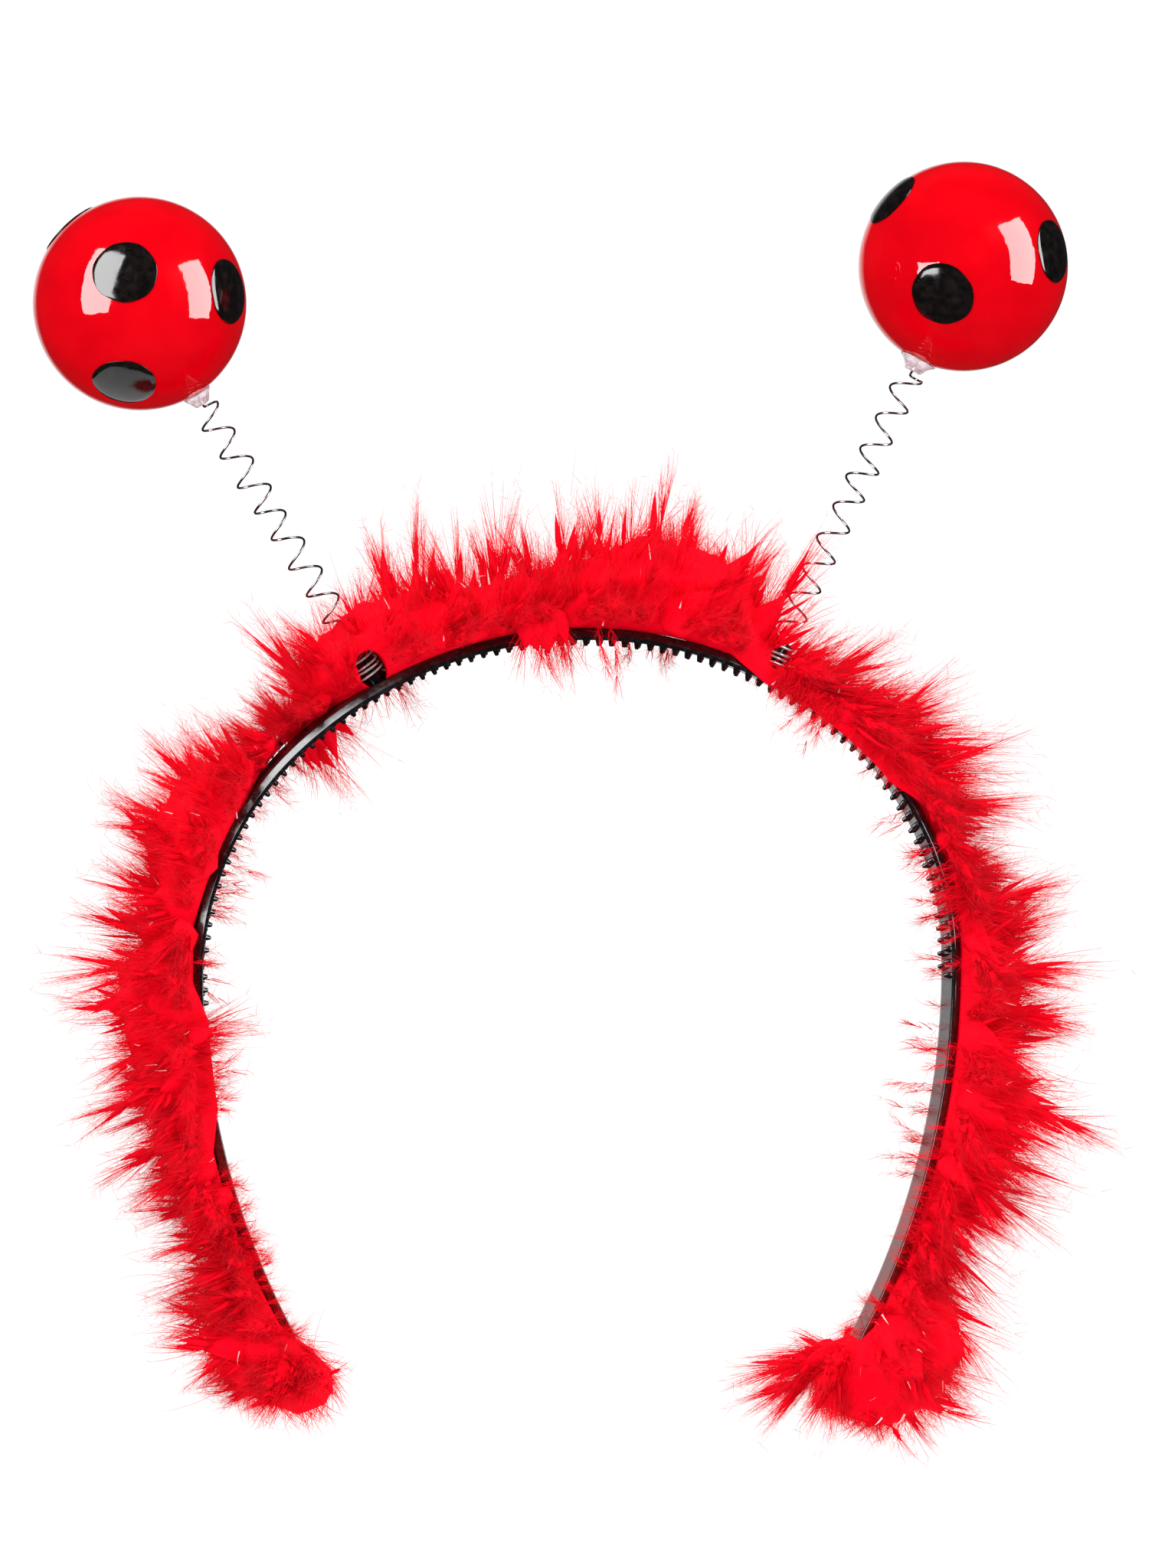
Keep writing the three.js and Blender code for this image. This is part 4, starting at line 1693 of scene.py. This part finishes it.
    def barb_line(
        self, plumes: Plumes, which: Array, share: Array, around: Array, size: Array
    ) -> tuple[Array, Array, Array]:
        """Where barbs leave their plumes and how far they go.

        Args:
            plumes: The plumes.
            which: The number of each barb's plume.
            share: Where along the dense part, or a bare shaft, each starts.
            around: On which side of the shaft, as an angle.
            size: Its share of the full length.

        Returns:
            The barbs' roots, middles and tips.
        """
        bare = plumes.half_width[which, None] == 0.0
        dense = np.where(bare, 0.75, plumes.dense[which, None])
        point, ahead, side, through = plumes.shaft(which, share * dense)
        away = side * np.cos(around) + through * (plumes.flatness * np.sin(around))
        root = point + away * plumes.half_width[which, None] * plumes.girth(share) * 0.8
        opening = np.radians(46.0 - 34.0 * share)
        way = unit(ahead * np.cos(opening) + unit(away) * np.sin(opening))
        span = np.linalg.norm(plumes.tip - plumes.root, axis=1)[which, None]
        length = (span * (1.0 - dense) * (0.5 + 0.5 * share) + 1.2) * size
        middle = root + way * length * 0.5
        return root, middle, middle + unit(way + ahead * 0.4) * length * 0.5

    def shafts(self, plumes: Plumes) -> Barbs:
        """The plumes' own shafts, a darker thread that leaves the dense part of each."""
        which = np.arange(len(plumes.root))
        low = plumes.dense[:, None] * 0.85
        start = plumes.shaft(which, low)[0]
        middle = plumes.shaft(which, (1.0 + low) / 2)[0]
        tone = np.full(len(which), 0.2)
        share = np.full(len(which), 0.6)
        line = (start, 2 * middle - (start + plumes.tip) / 2, plumes.tip)
        return self.blades(line, self.shaft_width, tone, plumes.along, share, 3)

    def hairs(self, plumes: Plumes) -> Barbs:
        """Single long hairs that stray out of the plumes."""
        rng = self.rng
        count = self.hair_count
        which = rng.integers(0, len(plumes.root), count)
        start, ahead, _, _ = plumes.shaft(which, rng.uniform(0.5, 0.85, (count, 1)))
        way = unit(ahead + rng.normal(0.0, 0.32, (count, 3)))
        length = rng.uniform(*self.hair_length, (count, 1))
        tip = start + way * length
        middle = (start + tip) / 2 + rng.normal(0.0, 0.1, (count, 3)) * length
        tone = np.full(count, 0.2)
        share = np.full(count, 0.6)
        line = (start, middle, tip)
        return self.blades(line, self.hair_width, tone, plumes.along[which], share, 3)

    def coat(
        self,
        body: Object,
        count: int,
        size: Pair,
        half_width: Pair,
        shares: Pair,
        lift: float,
    ) -> Barbs:
        """Short barbs or bare quills that lie on the dense body and soften it.

        Args:
            body: The dense body.
            count: How many there are.
            size: Their least and most length.
            half_width: Their least and most half width.
            shares: Where they start and end on the way from root to tip colour.
            lift: How far off the body they start.

        Returns:
            The barbs.
        """
        rng = self.rng
        faces = body.data.polygons
        points, normals = np.empty((2, len(faces) * 3), dtype=np.float32)
        faces.foreach_get("center", points)
        faces.foreach_get("normal", normals)
        points, normals = points.reshape(-1, 3) / MM, normals.reshape(-1, 3)
        area = np.empty(len(faces), dtype=np.float32)
        faces.foreach_get("area", area)
        at_points = np.empty(len(body.data.vertices), dtype=np.float32)
        body.data.attributes["along"].data.foreach_get("value", at_points)
        along = np.array([at_points[face.vertices[0]] for face in faces])
        _, outward, rightward = CURVE.at(along)
        past = self.end_share(along)[:, None]
        outward = unit(outward * (1 - 0.8 * past) + rightward * np.sign(along)[:, None] * past)
        free = (np.sum(normals * outward, axis=1) > -0.8) | (past[:, 0] > 0)
        weight = area * free
        which = rng.choice(len(faces), count, p=weight / weight.sum())
        normal, out = normals[which], outward[which]
        start = points[which] + rng.normal(0.0, 0.6, (count, 3)) + normal * lift
        lying = unit(out - normal * np.sum(out * normal, axis=1, keepdims=True) + normal * 0.02)
        way = unit(lying + normal * rng.uniform(0.08, 0.4, (count, 1)))
        way = unit(way + rng.normal(0.0, 0.28, way.shape))
        _, dense, _ = self.clump_at(along[which])
        length = rng.uniform(*size, (count, 1))
        length = length * np.clip(dense / self.coat_full, self.coat_least, 1.0)[:, None]
        tip = start + way * length
        middle = (start + tip) / 2 + normal * length * 0.12
        tone = np.clip(rng.normal(0.6, 0.12, count), 0.0, 1.0)
        line = (start, middle, tip)
        return self.blades(line, half_width, tone, along[which], np.full(count, shares[0]), 2, shares[1])

    def down(self, barbs: Barbs, count: int) -> Barbs:
        """Grows fine fluff off the barbs.

        Args:
            barbs: The barbs that carry it.
            count: How many threads of fluff there are.

        Returns:
            The fluff.
        """
        rng = self.rng
        which = rng.integers(0, len(barbs.root), count)
        share = rng.uniform(0.1, 1.0, (count, 1))
        root = curve_point(barbs.root[which], barbs.middle[which], barbs.tip[which], share)
        ahead = unit(barbs.tip[which] - barbs.root[which])
        way = unit(ahead * 0.75 + unit(rng.normal(0.0, 1.0, (count, 3))) * 0.75)
        tip = root + way * rng.uniform(*self.fluff_length, (count, 1))
        start_share = barbs.start_share[which] + (1 - barbs.start_share[which]) * share[:, 0] * 0.7
        line = (root, (root + tip) / 2, tip)
        along = barbs.along[which]
        return self.blades(line, self.fluff_width, barbs.tone[which], along, start_share, 1)

    def clear(self, barbs: Barbs | Plumes) -> Barbs | Plumes:
        """Takes out barbs that would cover the studs and springs, or hang below the band's outer face."""
        keep = np.ones(len(barbs.root), dtype=bool)
        middle = curve_point(barbs.root, barbs.middle, barbs.tip, np.full((len(barbs.root), 1), 0.5))
        for points in (barbs.root, middle, barbs.tip):
            keep &= ~(self.in_parting(points, 0.0) | self.in_swing(points))
        point, normal, _ = CURVE.at(barbs.along)
        on_band = np.abs(barbs.along) < CURVE.half_length - self.end_free
        floor = CURVE.sized(CURVE.thickness, barbs.along) + self.front_clear
        floor = floor - 1.4 * np.interp(barbs.along, *np.array(self.drapes).T)
        for points in (middle, barbs.tip):
            height = np.sum((points - point) * normal, axis=1)
            keep &= ~(on_band & (height < floor))
        return barbs.kept(keep)

    def in_parting(self, points: Array, margin: float) -> Array:
        """Which points lie in a spring's way or in the parting in front of a stud.

        Args:
            points: The points, a row each.
            margin: How much wider the partings are taken.

        Returns:
            A mask.
        """
        inside = np.zeros(len(points), dtype=bool)
        for antenna in ANTENNAE:
            spot = antenna.local(points)
            near_axis = np.hypot(spot[:, 0], spot[:, 1]) < self.spring_clear + margin
            inside |= near_axis & (spot[:, 2] > self.bore[0]) & (spot[:, 2] < self.bore[1])
            in_window = np.hypot(spot[:, 0], spot[:, 2] - self.window_at) < antenna.window + margin
            inside |= in_window & (spot[:, 1] < 0)
        return inside

    def in_swing(self, points: Array) -> Array:
        """Which points a spring's wire passes as it sways in towards the crown.

        Args:
            points: The points, a row each.

        Returns:
            A mask.
        """
        inside = np.zeros(len(points), dtype=bool)
        for antenna in ANTENNAE:
            spot = antenna.local(points) - (0.0, 0.0, self.swing_from)
            inwards = -math.copysign(1.0, antenna.along) * spot[:, 0]
            turn = np.arctan2(inwards, spot[:, 2])
            off = turn - np.clip(turn, 0.0, math.radians(self.swing))
            reach = np.hypot(inwards, spot[:, 2])
            near = np.hypot(reach * np.sin(off), spot[:, 1]) < self.spring_clear
            inside |= near & (np.cos(off) > 0.0) & (reach < self.swing_reach)
        return inside

    def section(self, number: int, groups: list[Barbs | Plumes], edges: Array) -> Object:
        """Joins the threads of one stretch of the band into a mesh.

        Args:
            number: The stretch's number, from 0 at the left tip.
            groups: Barbs, down and the locks' hearts.
            edges: The stretches' ends along the band.

        Returns:
            The mesh object, with its share and tone attributes.
        """
        low, high = edges[number], edges[number + 1]
        made = [g.kept((g.along >= low) & (g.along < high)).arrays() for g in groups]
        offsets = np.cumsum([0] + [len(part[0]) for part in made[:-1]])
        points = np.concatenate([part[0] for part in made])
        corners = np.concatenate([part[1] + offset for part, offset in zip(made, offsets)])
        sizes = np.concatenate([part[2] for part in made])
        lock = mesh_from_arrays(f"feather_locks_{number + 1}", points, corners, sizes)
        share, tone = (np.concatenate([part[column] for part in made]) for column in (3, 4))
        self.shade(lock, share, tone)
        return lock

    def shade(self, piece: Object, share: Array, tone: Array) -> None:
        """Writes the two values that the finish reads, and shades the piece smoothly.

        Args:
            piece: A piece of the trim.
            share: Each vertex's share from root to tip.
            tone: Each vertex's shade.
        """
        for name, values in (("tip_share", share), ("tone", tone)):
            attribute = piece.data.attributes.new(name, "FLOAT", "POINT")
            attribute.data.foreach_set("value", values.astype(np.float32))
        piece.data.polygons.foreach_set("use_smooth", np.ones(len(piece.data.polygons), dtype=bool))

    def body(self) -> Object:
        """Models the core of the body: a sheet rolled into a soft, folded tube that stands on the band."""
        deselect()
        bpy.ops.mesh.primitive_grid_add(
            x_subdivisions=self.body_steps, y_subdivisions=self.body_sides, size=1.0
        )
        body = take_new("feather_body")
        flat = points_of(body) * MM
        ends = CURVE.half_length + self.past_tip - np.where(flat[:, 0] < 0, self.left_short, 0.0)
        along = flat[:, 0] * 2 * ends
        around = flat[:, 1] * 2
        # Most of the roll is the arc that shows; the rest is the foot on the band.
        arc = np.clip(around / (1.0 - self.foot_share), -1.0, 1.0)
        foot = np.clip((1.0 - np.abs(around)) / self.foot_share, 0.0, 1.0)
        turn = np.radians(self.sweep) * arc
        size, inside = self.wrap_at(along)
        side = 1.0 + (self.side_share - 1.0) * np.abs(arc) ** 1.5
        folds = np.array(
            [
                noise.fractal(Vector((a / self.fold_mm, 2.2 * t, 1.0)), 0.8, 2.2, 3)
                for a, t in zip(along, turn)
            ]
        )
        _, dense, _ = self.clump_at(along)
        radius = dense * self.body_share * side * size * (1.0 + self.fold_depth * folds * (1.0 - arc**2))
        out = self.middle - 0.4 * inside + radius * np.cos(turn)
        across = radius * np.sin(turn)
        base = CURVE.sized(CURVE.thickness, np.minimum(np.abs(along), CURVE.half_length))
        base = base + self.foot_lift - inside * size
        on_foot = np.abs(around) > 1.0 - self.foot_share
        out = np.where(on_foot, base, np.maximum(out, base))
        widest = self.foot_half + self.body_flare * (out - base) + 2.0 * inside
        across = np.clip(across, -widest, widest)
        across = np.where(on_foot, across * foot, across)
        across = across * np.where(size < 0.01, 0.0, 1.0)
        back = self.set_back(along)
        across = np.clip(across + back, -widest + 1.4 * back, widest + 0.2 * back)
        hang = np.interp(along, *np.array(self.drapes).T)
        low = np.clip((-arc - 0.5) / 0.45, 0.0, 1.0) * ~on_foot
        edge = CURVE.sized(CURVE.width, along) / 2
        over = np.minimum(across, -edge - 0.5 - 1.1 * np.sin(math.pi * low))
        across = across + (over - across) * low * np.clip(hang, 0.0, 1.0)
        out = out - hang * low**2
        move_points(body, CURVE.place(along, out, across))
        attribute = body.data.attributes.new("along", "FLOAT", "POINT")
        attribute.data.foreach_set("value", along.astype(np.float32))
        with editing(body):
            bpy.ops.mesh.select_all(action="SELECT")
            bpy.ops.mesh.remove_doubles(threshold=0.02 * MM)
            bpy.ops.mesh.normals_make_consistent(inside=False)
        return body

    def cut(self, body: Object) -> None:
        """Cuts clear ways for the springs and the partings in front of the studs.

        Args:
            body: The core of the body.
        """
        low, high = self.bore_cut
        for antenna in ANTENNAE:
            deselect()
            bpy.ops.mesh.primitive_cylinder_add(
                vertices=24, radius=self.spring_clear * MM, depth=(high - low) * MM
            )
            bore = take_new("bore")
            move_points(bore, antenna.world(points_of(bore) + (0.0, 0.0, (low + high) / 2)))
            deselect()
            bpy.ops.mesh.primitive_cylinder_add(
                vertices=24, radius=antenna.window * MM, depth=self.window_depth * MM
            )
            window = take_new("window")
            lying = points_of(window)[:, [0, 2, 1]] * (1.0, -1.0, self.window_tall)
            lying += (0.0, -self.window_depth / 2, self.window_at)
            move_points(window, antenna.world(lying))
            for cutter in (bore, window):
                apply_modifier(body, "BOOLEAN", operation="DIFFERENCE", object=cutter, solver="EXACT")
                bpy.data.objects.remove(cutter, do_unlink=True)
        count = len(body.data.vertices)
        self.shade(body, np.full(count, 0.25), np.full(count, 0.55))

    def add_lobes(self, body: Object, plumes: Plumes) -> Object:
        """Sets the plumes' dense parts round the core, clear of the springs and their partings.

        Args:
            body: The core of the body.
            plumes: All plumes.

        Returns:
            The whole body.
        """
        which = np.arange(len(plumes.root))
        keep = plumes.half_width > 0.0
        for share in np.linspace(0.0, 1.0, 7):
            point = plumes.shaft(which, (plumes.dense * share)[:, None])[0]
            wide = plumes.half_width * plumes.girth(share)
            for step in (-0.9, -0.45, 0.0, 0.45, 0.9):
                edge = point + plumes.side * (wide * step)[:, None]
                keep &= ~self.in_parting(edge, self.lobe_clear)
        points, corners, sizes, share, tone = plumes.kept(keep).arrays()
        lobes = mesh_from_arrays("plume_lobes", points, corners, sizes)
        self.shade(lobes, share, tone)
        return join(body, lobes)

    def build(self) -> tuple[Object, list[Object]]:
        """Grows the whole trim and returns its body and its stretches of locks."""
        body = self.body()
        standing = [self.main_plumes(), *(self.end_plumes(*spray) for spray in self.sprays)]
        hanging = self.stray_plumes()
        lying = [
            (self.coat_count, self.coat_length, self.coat_width, COAT_SHARES, self.coat_lift),
            (self.quill_count, self.quill_length, self.quill_width, QUILL_SHARES, self.quill_lift),
        ]
        groups = [self.clear(self.coat(body, *sizes)) for sizes in lying]
        self.cut(body)
        for plumes in standing:
            body = self.add_lobes(body, plumes)
            barbs, hearts = (self.clear(part) for part in self.barbs(plumes, self.barbs_per_plume))
            share = len(plumes.root) / sum(len(part.root) for part in standing)
            down = self.clear(self.down(barbs, round(self.down_count * share)))
            groups += [barbs, hearts, down, self.clear(self.shafts(plumes))]
        groups.append(self.clear(self.hairs(standing[0])))
        body = self.add_lobes(body, hanging)
        wisps, _ = self.barbs(hanging, self.barbs_per_stray)
        groups += [wisps, self.down(wisps, 2 * len(wisps.root))]
        edges = np.linspace(-CURVE.half_length, CURVE.half_length, self.sections + 1)
        edges[[0, -1]] = [-np.inf, np.inf]
        return body, [self.section(i, groups, edges) for i in range(self.sections)]

    def dress(self, pieces: tuple[Object, list[Object]], finish: MarabouDown) -> None:
        """Gives the trim its finish and fixes it to the headband's body."""
        material = finish.material()
        body, locks = pieces
        for piece in (body, *locks):
            put_on(piece, material, ["feather_trim"])
            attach(piece, Body.HEADBAND.of(Side.LEFT))


@dataclass
class PhotoCamera:
    """The camera at the photograph's viewing angle."""

    azimuth: float = -11.0
    elevation: float = 4.0
    roll: float = -1.08
    distance: float = 1500.0
    target: tuple[float, float, float] = (0.82, 0.0, -27.62)
    pixels_per_mm: float = 6.875

    def build(self) -> None:
        """Adds the camera and makes it the scene's."""
        deselect()
        bpy.ops.object.camera_add()
        camera = take_new("photo_camera")
        az, el, roll = (math.radians(a) for a in (self.azimuth, self.elevation, self.roll))
        back = Vector((math.sin(az) * math.cos(el), -math.cos(az) * math.cos(el), math.sin(el)))
        right = Vector((math.cos(az), math.sin(az), 0.0))
        up = back.cross(right)
        across = right * math.cos(roll) + up * math.sin(roll)
        upward = up * math.cos(roll) - right * math.sin(roll)
        place = (Vector(self.target) + back * self.distance) * MM
        matrix = Matrix((across, upward, back)).transposed().to_4x4()
        camera.matrix_world = Matrix.Translation(place) @ matrix
        camera.data.sensor_fit = "VERTICAL"
        camera.data.sensor_height = SENSOR_HEIGHT
        camera.data.lens = self.pixels_per_mm * self.distance / PHOTO_HEIGHT * SENSOR_HEIGHT
        camera.data.clip_start = 0.05
        bpy.context.scene.camera = camera


@dataclass(frozen=True)
class Softbox:
    """A rectangular studio light, turned to the object."""

    name: str
    azimuth: float
    elevation: float
    distance: float
    width: float
    height: float
    watts: float
    lit: bool = True
    mirrored: bool = True

    def build(self, target: Vector) -> None:
        """Adds the light.

        Args:
            target: What it points at, in metres.
        """
        deselect()
        bpy.ops.object.light_add(type="AREA")
        light = take_new(self.name)
        az, el = math.radians(self.azimuth), math.radians(self.elevation)
        way = Vector((math.sin(az) * math.cos(el), -math.cos(az) * math.cos(el), math.sin(el)))
        light.location = target + way * self.distance
        light.rotation_euler = way.to_track_quat("Z", "Y").to_euler()
        light.data.shape = "RECTANGLE"
        light.data.size = self.width
        light.data.size_y = self.height
        light.data.energy = self.watts
        light.visible_camera = False
        light.visible_diffuse = self.lit
        light.visible_glossy = self.mirrored


@dataclass
class Studio:
    """A white floor, a pale surround and soft lights."""

    floor_z: float = -0.26
    floor_radius: float = 0.42
    floor_full: float = 0.2
    floor_colour: str = "#f4f4f4"
    surround: float = 0.025
    # Mirrored rays that run this far towards the back, as a share, meet the dark room and the white wall.
    wall_from: float = 0.9
    wall_full: float = 1.0
    fill: float = 1.0
    backdrop: float = 1.05
    lights: tuple[Softbox, ...] = (
        Softbox("softbox_left", -58.0, 25.0, 0.85, 0.5, 0.95, 21.0, lit=False),
        Softbox("softbox_right", 58.0, 16.0, 0.95, 0.52, 0.95, 20.0, lit=False),
        Softbox("softbox_small", -49.7, 3.7, 0.84, 0.38, 0.2, 3.6, lit=False),
        Softbox("paper_glow", 180.0, -70.0, 0.25, 0.6, 0.4, 0.9, lit=False),
        Softbox("key_left", -40.0, 35.0, 1.1, 0.9, 0.9, 11.0, mirrored=False),
        Softbox("key_right", 45.0, 25.0, 1.2, 0.9, 0.9, 9.0, mirrored=False),
        Softbox("key_back", 172.0, 48.0, 1.3, 1.2, 0.7, 12.0, mirrored=False),
    )

    def floor(self) -> None:
        """Lays the paper floor, whose edge fades into the white surround."""
        deselect()
        bpy.ops.mesh.primitive_circle_add(
            vertices=96, radius=self.floor_radius, fill_type="NGON", location=(0.0, 0.0, self.floor_z)
        )
        floor = take_new("studio_floor")
        bpy.ops.object.transform_apply(location=True)
        # White seamless paper, matt.
        material, tree, shader = new_shader("white_paper_floor")
        shader.inputs["Base Color"].default_value = linear(self.floor_colour)
        shader.inputs["Roughness"].default_value = 0.9
        shader.inputs["Specular IOR Level"].default_value = 0.0
        where = add_node(tree, "ShaderNodeTexCoord").outputs["Object"]
        flat = add_node(tree, "ShaderNodeVectorMath", {0: where, 1: (1.0, 1.0, 0.0)}, operation="MULTIPLY")
        far = add_node(tree, "ShaderNodeVectorMath", {0: flat.outputs["Vector"]}, operation="LENGTH")
        fade = add_node(
            tree,
            "ShaderNodeMapRange",
            {
                "Value": far.outputs["Value"],
                "From Min": self.floor_full,
                "From Max": self.floor_radius,
                "To Min": 1.0,
                "To Max": 0.0,
            },
            interpolation_type="SMOOTHSTEP",
        )
        tree.links.new(fade.outputs["Result"], shader.inputs["Alpha"])
        floor.data.materials.append(material)
        floor.visible_glossy = False

    def surround_world(self) -> None:
        """Sets the world: white to the eye, soft fill on matt faces, dark in mirrors but for a wall."""
        world = bpy.data.worlds.new("studio_surround")
        world.use_nodes = True
        tree = world.node_tree
        ray = add_node(tree, "ShaderNodeLightPath")
        way = add_node(tree, "ShaderNodeTexCoord").outputs["Generated"]
        back = add_node(tree, "ShaderNodeSeparateXYZ", {"Vector": way}).outputs["Y"]
        mirrored = add_node(
            tree,
            "ShaderNodeMapRange",
            {"Value": back, "From Min": self.wall_from, "From Max": self.wall_full, "To Min": self.surround},
            interpolation_type="SMOOTHSTEP",
        )
        matt = add_node(
            tree,
            "ShaderNodeMapRange",
            {
                "Value": ray.outputs["Is Diffuse Ray"],
                "To Min": mirrored.outputs["Result"],
                "To Max": self.fill,
            },
        )
        through = add_node(
            tree,
            "ShaderNodeMath",
            {0: ray.outputs["Is Camera Ray"], 1: ray.outputs["Is Transmission Ray"]},
            operation="MAXIMUM",
        )
        strength = add_node(
            tree,
            "ShaderNodeMapRange",
            {"Value": through.outputs["Value"], "To Min": matt.outputs["Result"], "To Max": self.backdrop},
        )
        tree.links.new(strength.outputs["Result"], tree.nodes["Background"].inputs["Strength"])
        tree.nodes["Background"].inputs["Color"].default_value = (1.0, 1.0, 1.0, 1.0)
        bpy.context.scene.world = world

    def build(self) -> None:
        """Adds the floor, the world and the lights."""
        bpy.context.scene.view_settings.view_transform = "Standard"
        self.floor()
        self.surround_world()
        for light in self.lights:
            light.build(Vector((0.0, 0.0, 0.0)))

    def flag(self, name: str, pieces: list[Object], state: str) -> None:
        """Keeps one light off some pieces or to them alone, as flags set round it do.

        Args:
            name: The light's name.
            pieces: The pieces.
            state: EXCLUDE or INCLUDE.
        """
        flagged = bpy.data.collections.new(f"{name}_flags")
        for piece in pieces:
            flagged.objects.link(piece)
        for member in flagged.collection_objects:
            member.light_linking.link_state = state
        bpy.data.objects[name].light_linking.receiver_collection = flagged


def main() -> None:
    """Builds the camera, the studio and every piece."""
    logging.basicConfig(level=logging.INFO, format="%(message)s")
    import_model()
    PhotoCamera().build()
    studio = Studio()
    studio.build()

    band = CombBand()
    band.dress(band.build(), MouldedPolystyrene())

    wire, glue, shell, ink = SpringWire(), HotMelt(), GlossShell(), DotInk()
    # The grip's wire is a lighter, less metallic copy of the same wire: painted glints that light its
    # windings in the shade of the parting.
    rubbed = replace(wire, bright="#f0f0f2", dark="#a2a2a6", metallic=0.35)
    wire_materials, glue_material = (rubbed.material(), wire.material()), glue.material()
    ball_materials = (shell.material(), ink.material())
    balls = {}
    for antenna in ANTENNAE:
        spring = CoilSpring(antenna)
        spring.dress(spring.build(), wire, wire_materials)
        bead = GlueBead(antenna)
        bead.dress(bead.build(), glue, glue_material)
        ball = LadybugBall(antenna)
        hull, dots = ball.build()
        ball.dress((hull, dots), (shell, ink), ball_materials)
        balls[antenna.side] = [hull, *dots]
    studio.flag("softbox_left", balls[Side.RIGHT], "EXCLUDE")
    studio.flag("softbox_small", balls[Side.RIGHT], "INCLUDE")
    studio.flag("paper_glow", balls[Side.LEFT][1:], "INCLUDE")

    trim = FeatherTrim()
    trim.dress(trim.build(), MarabouDown())


if __name__ == "__main__":
    main()
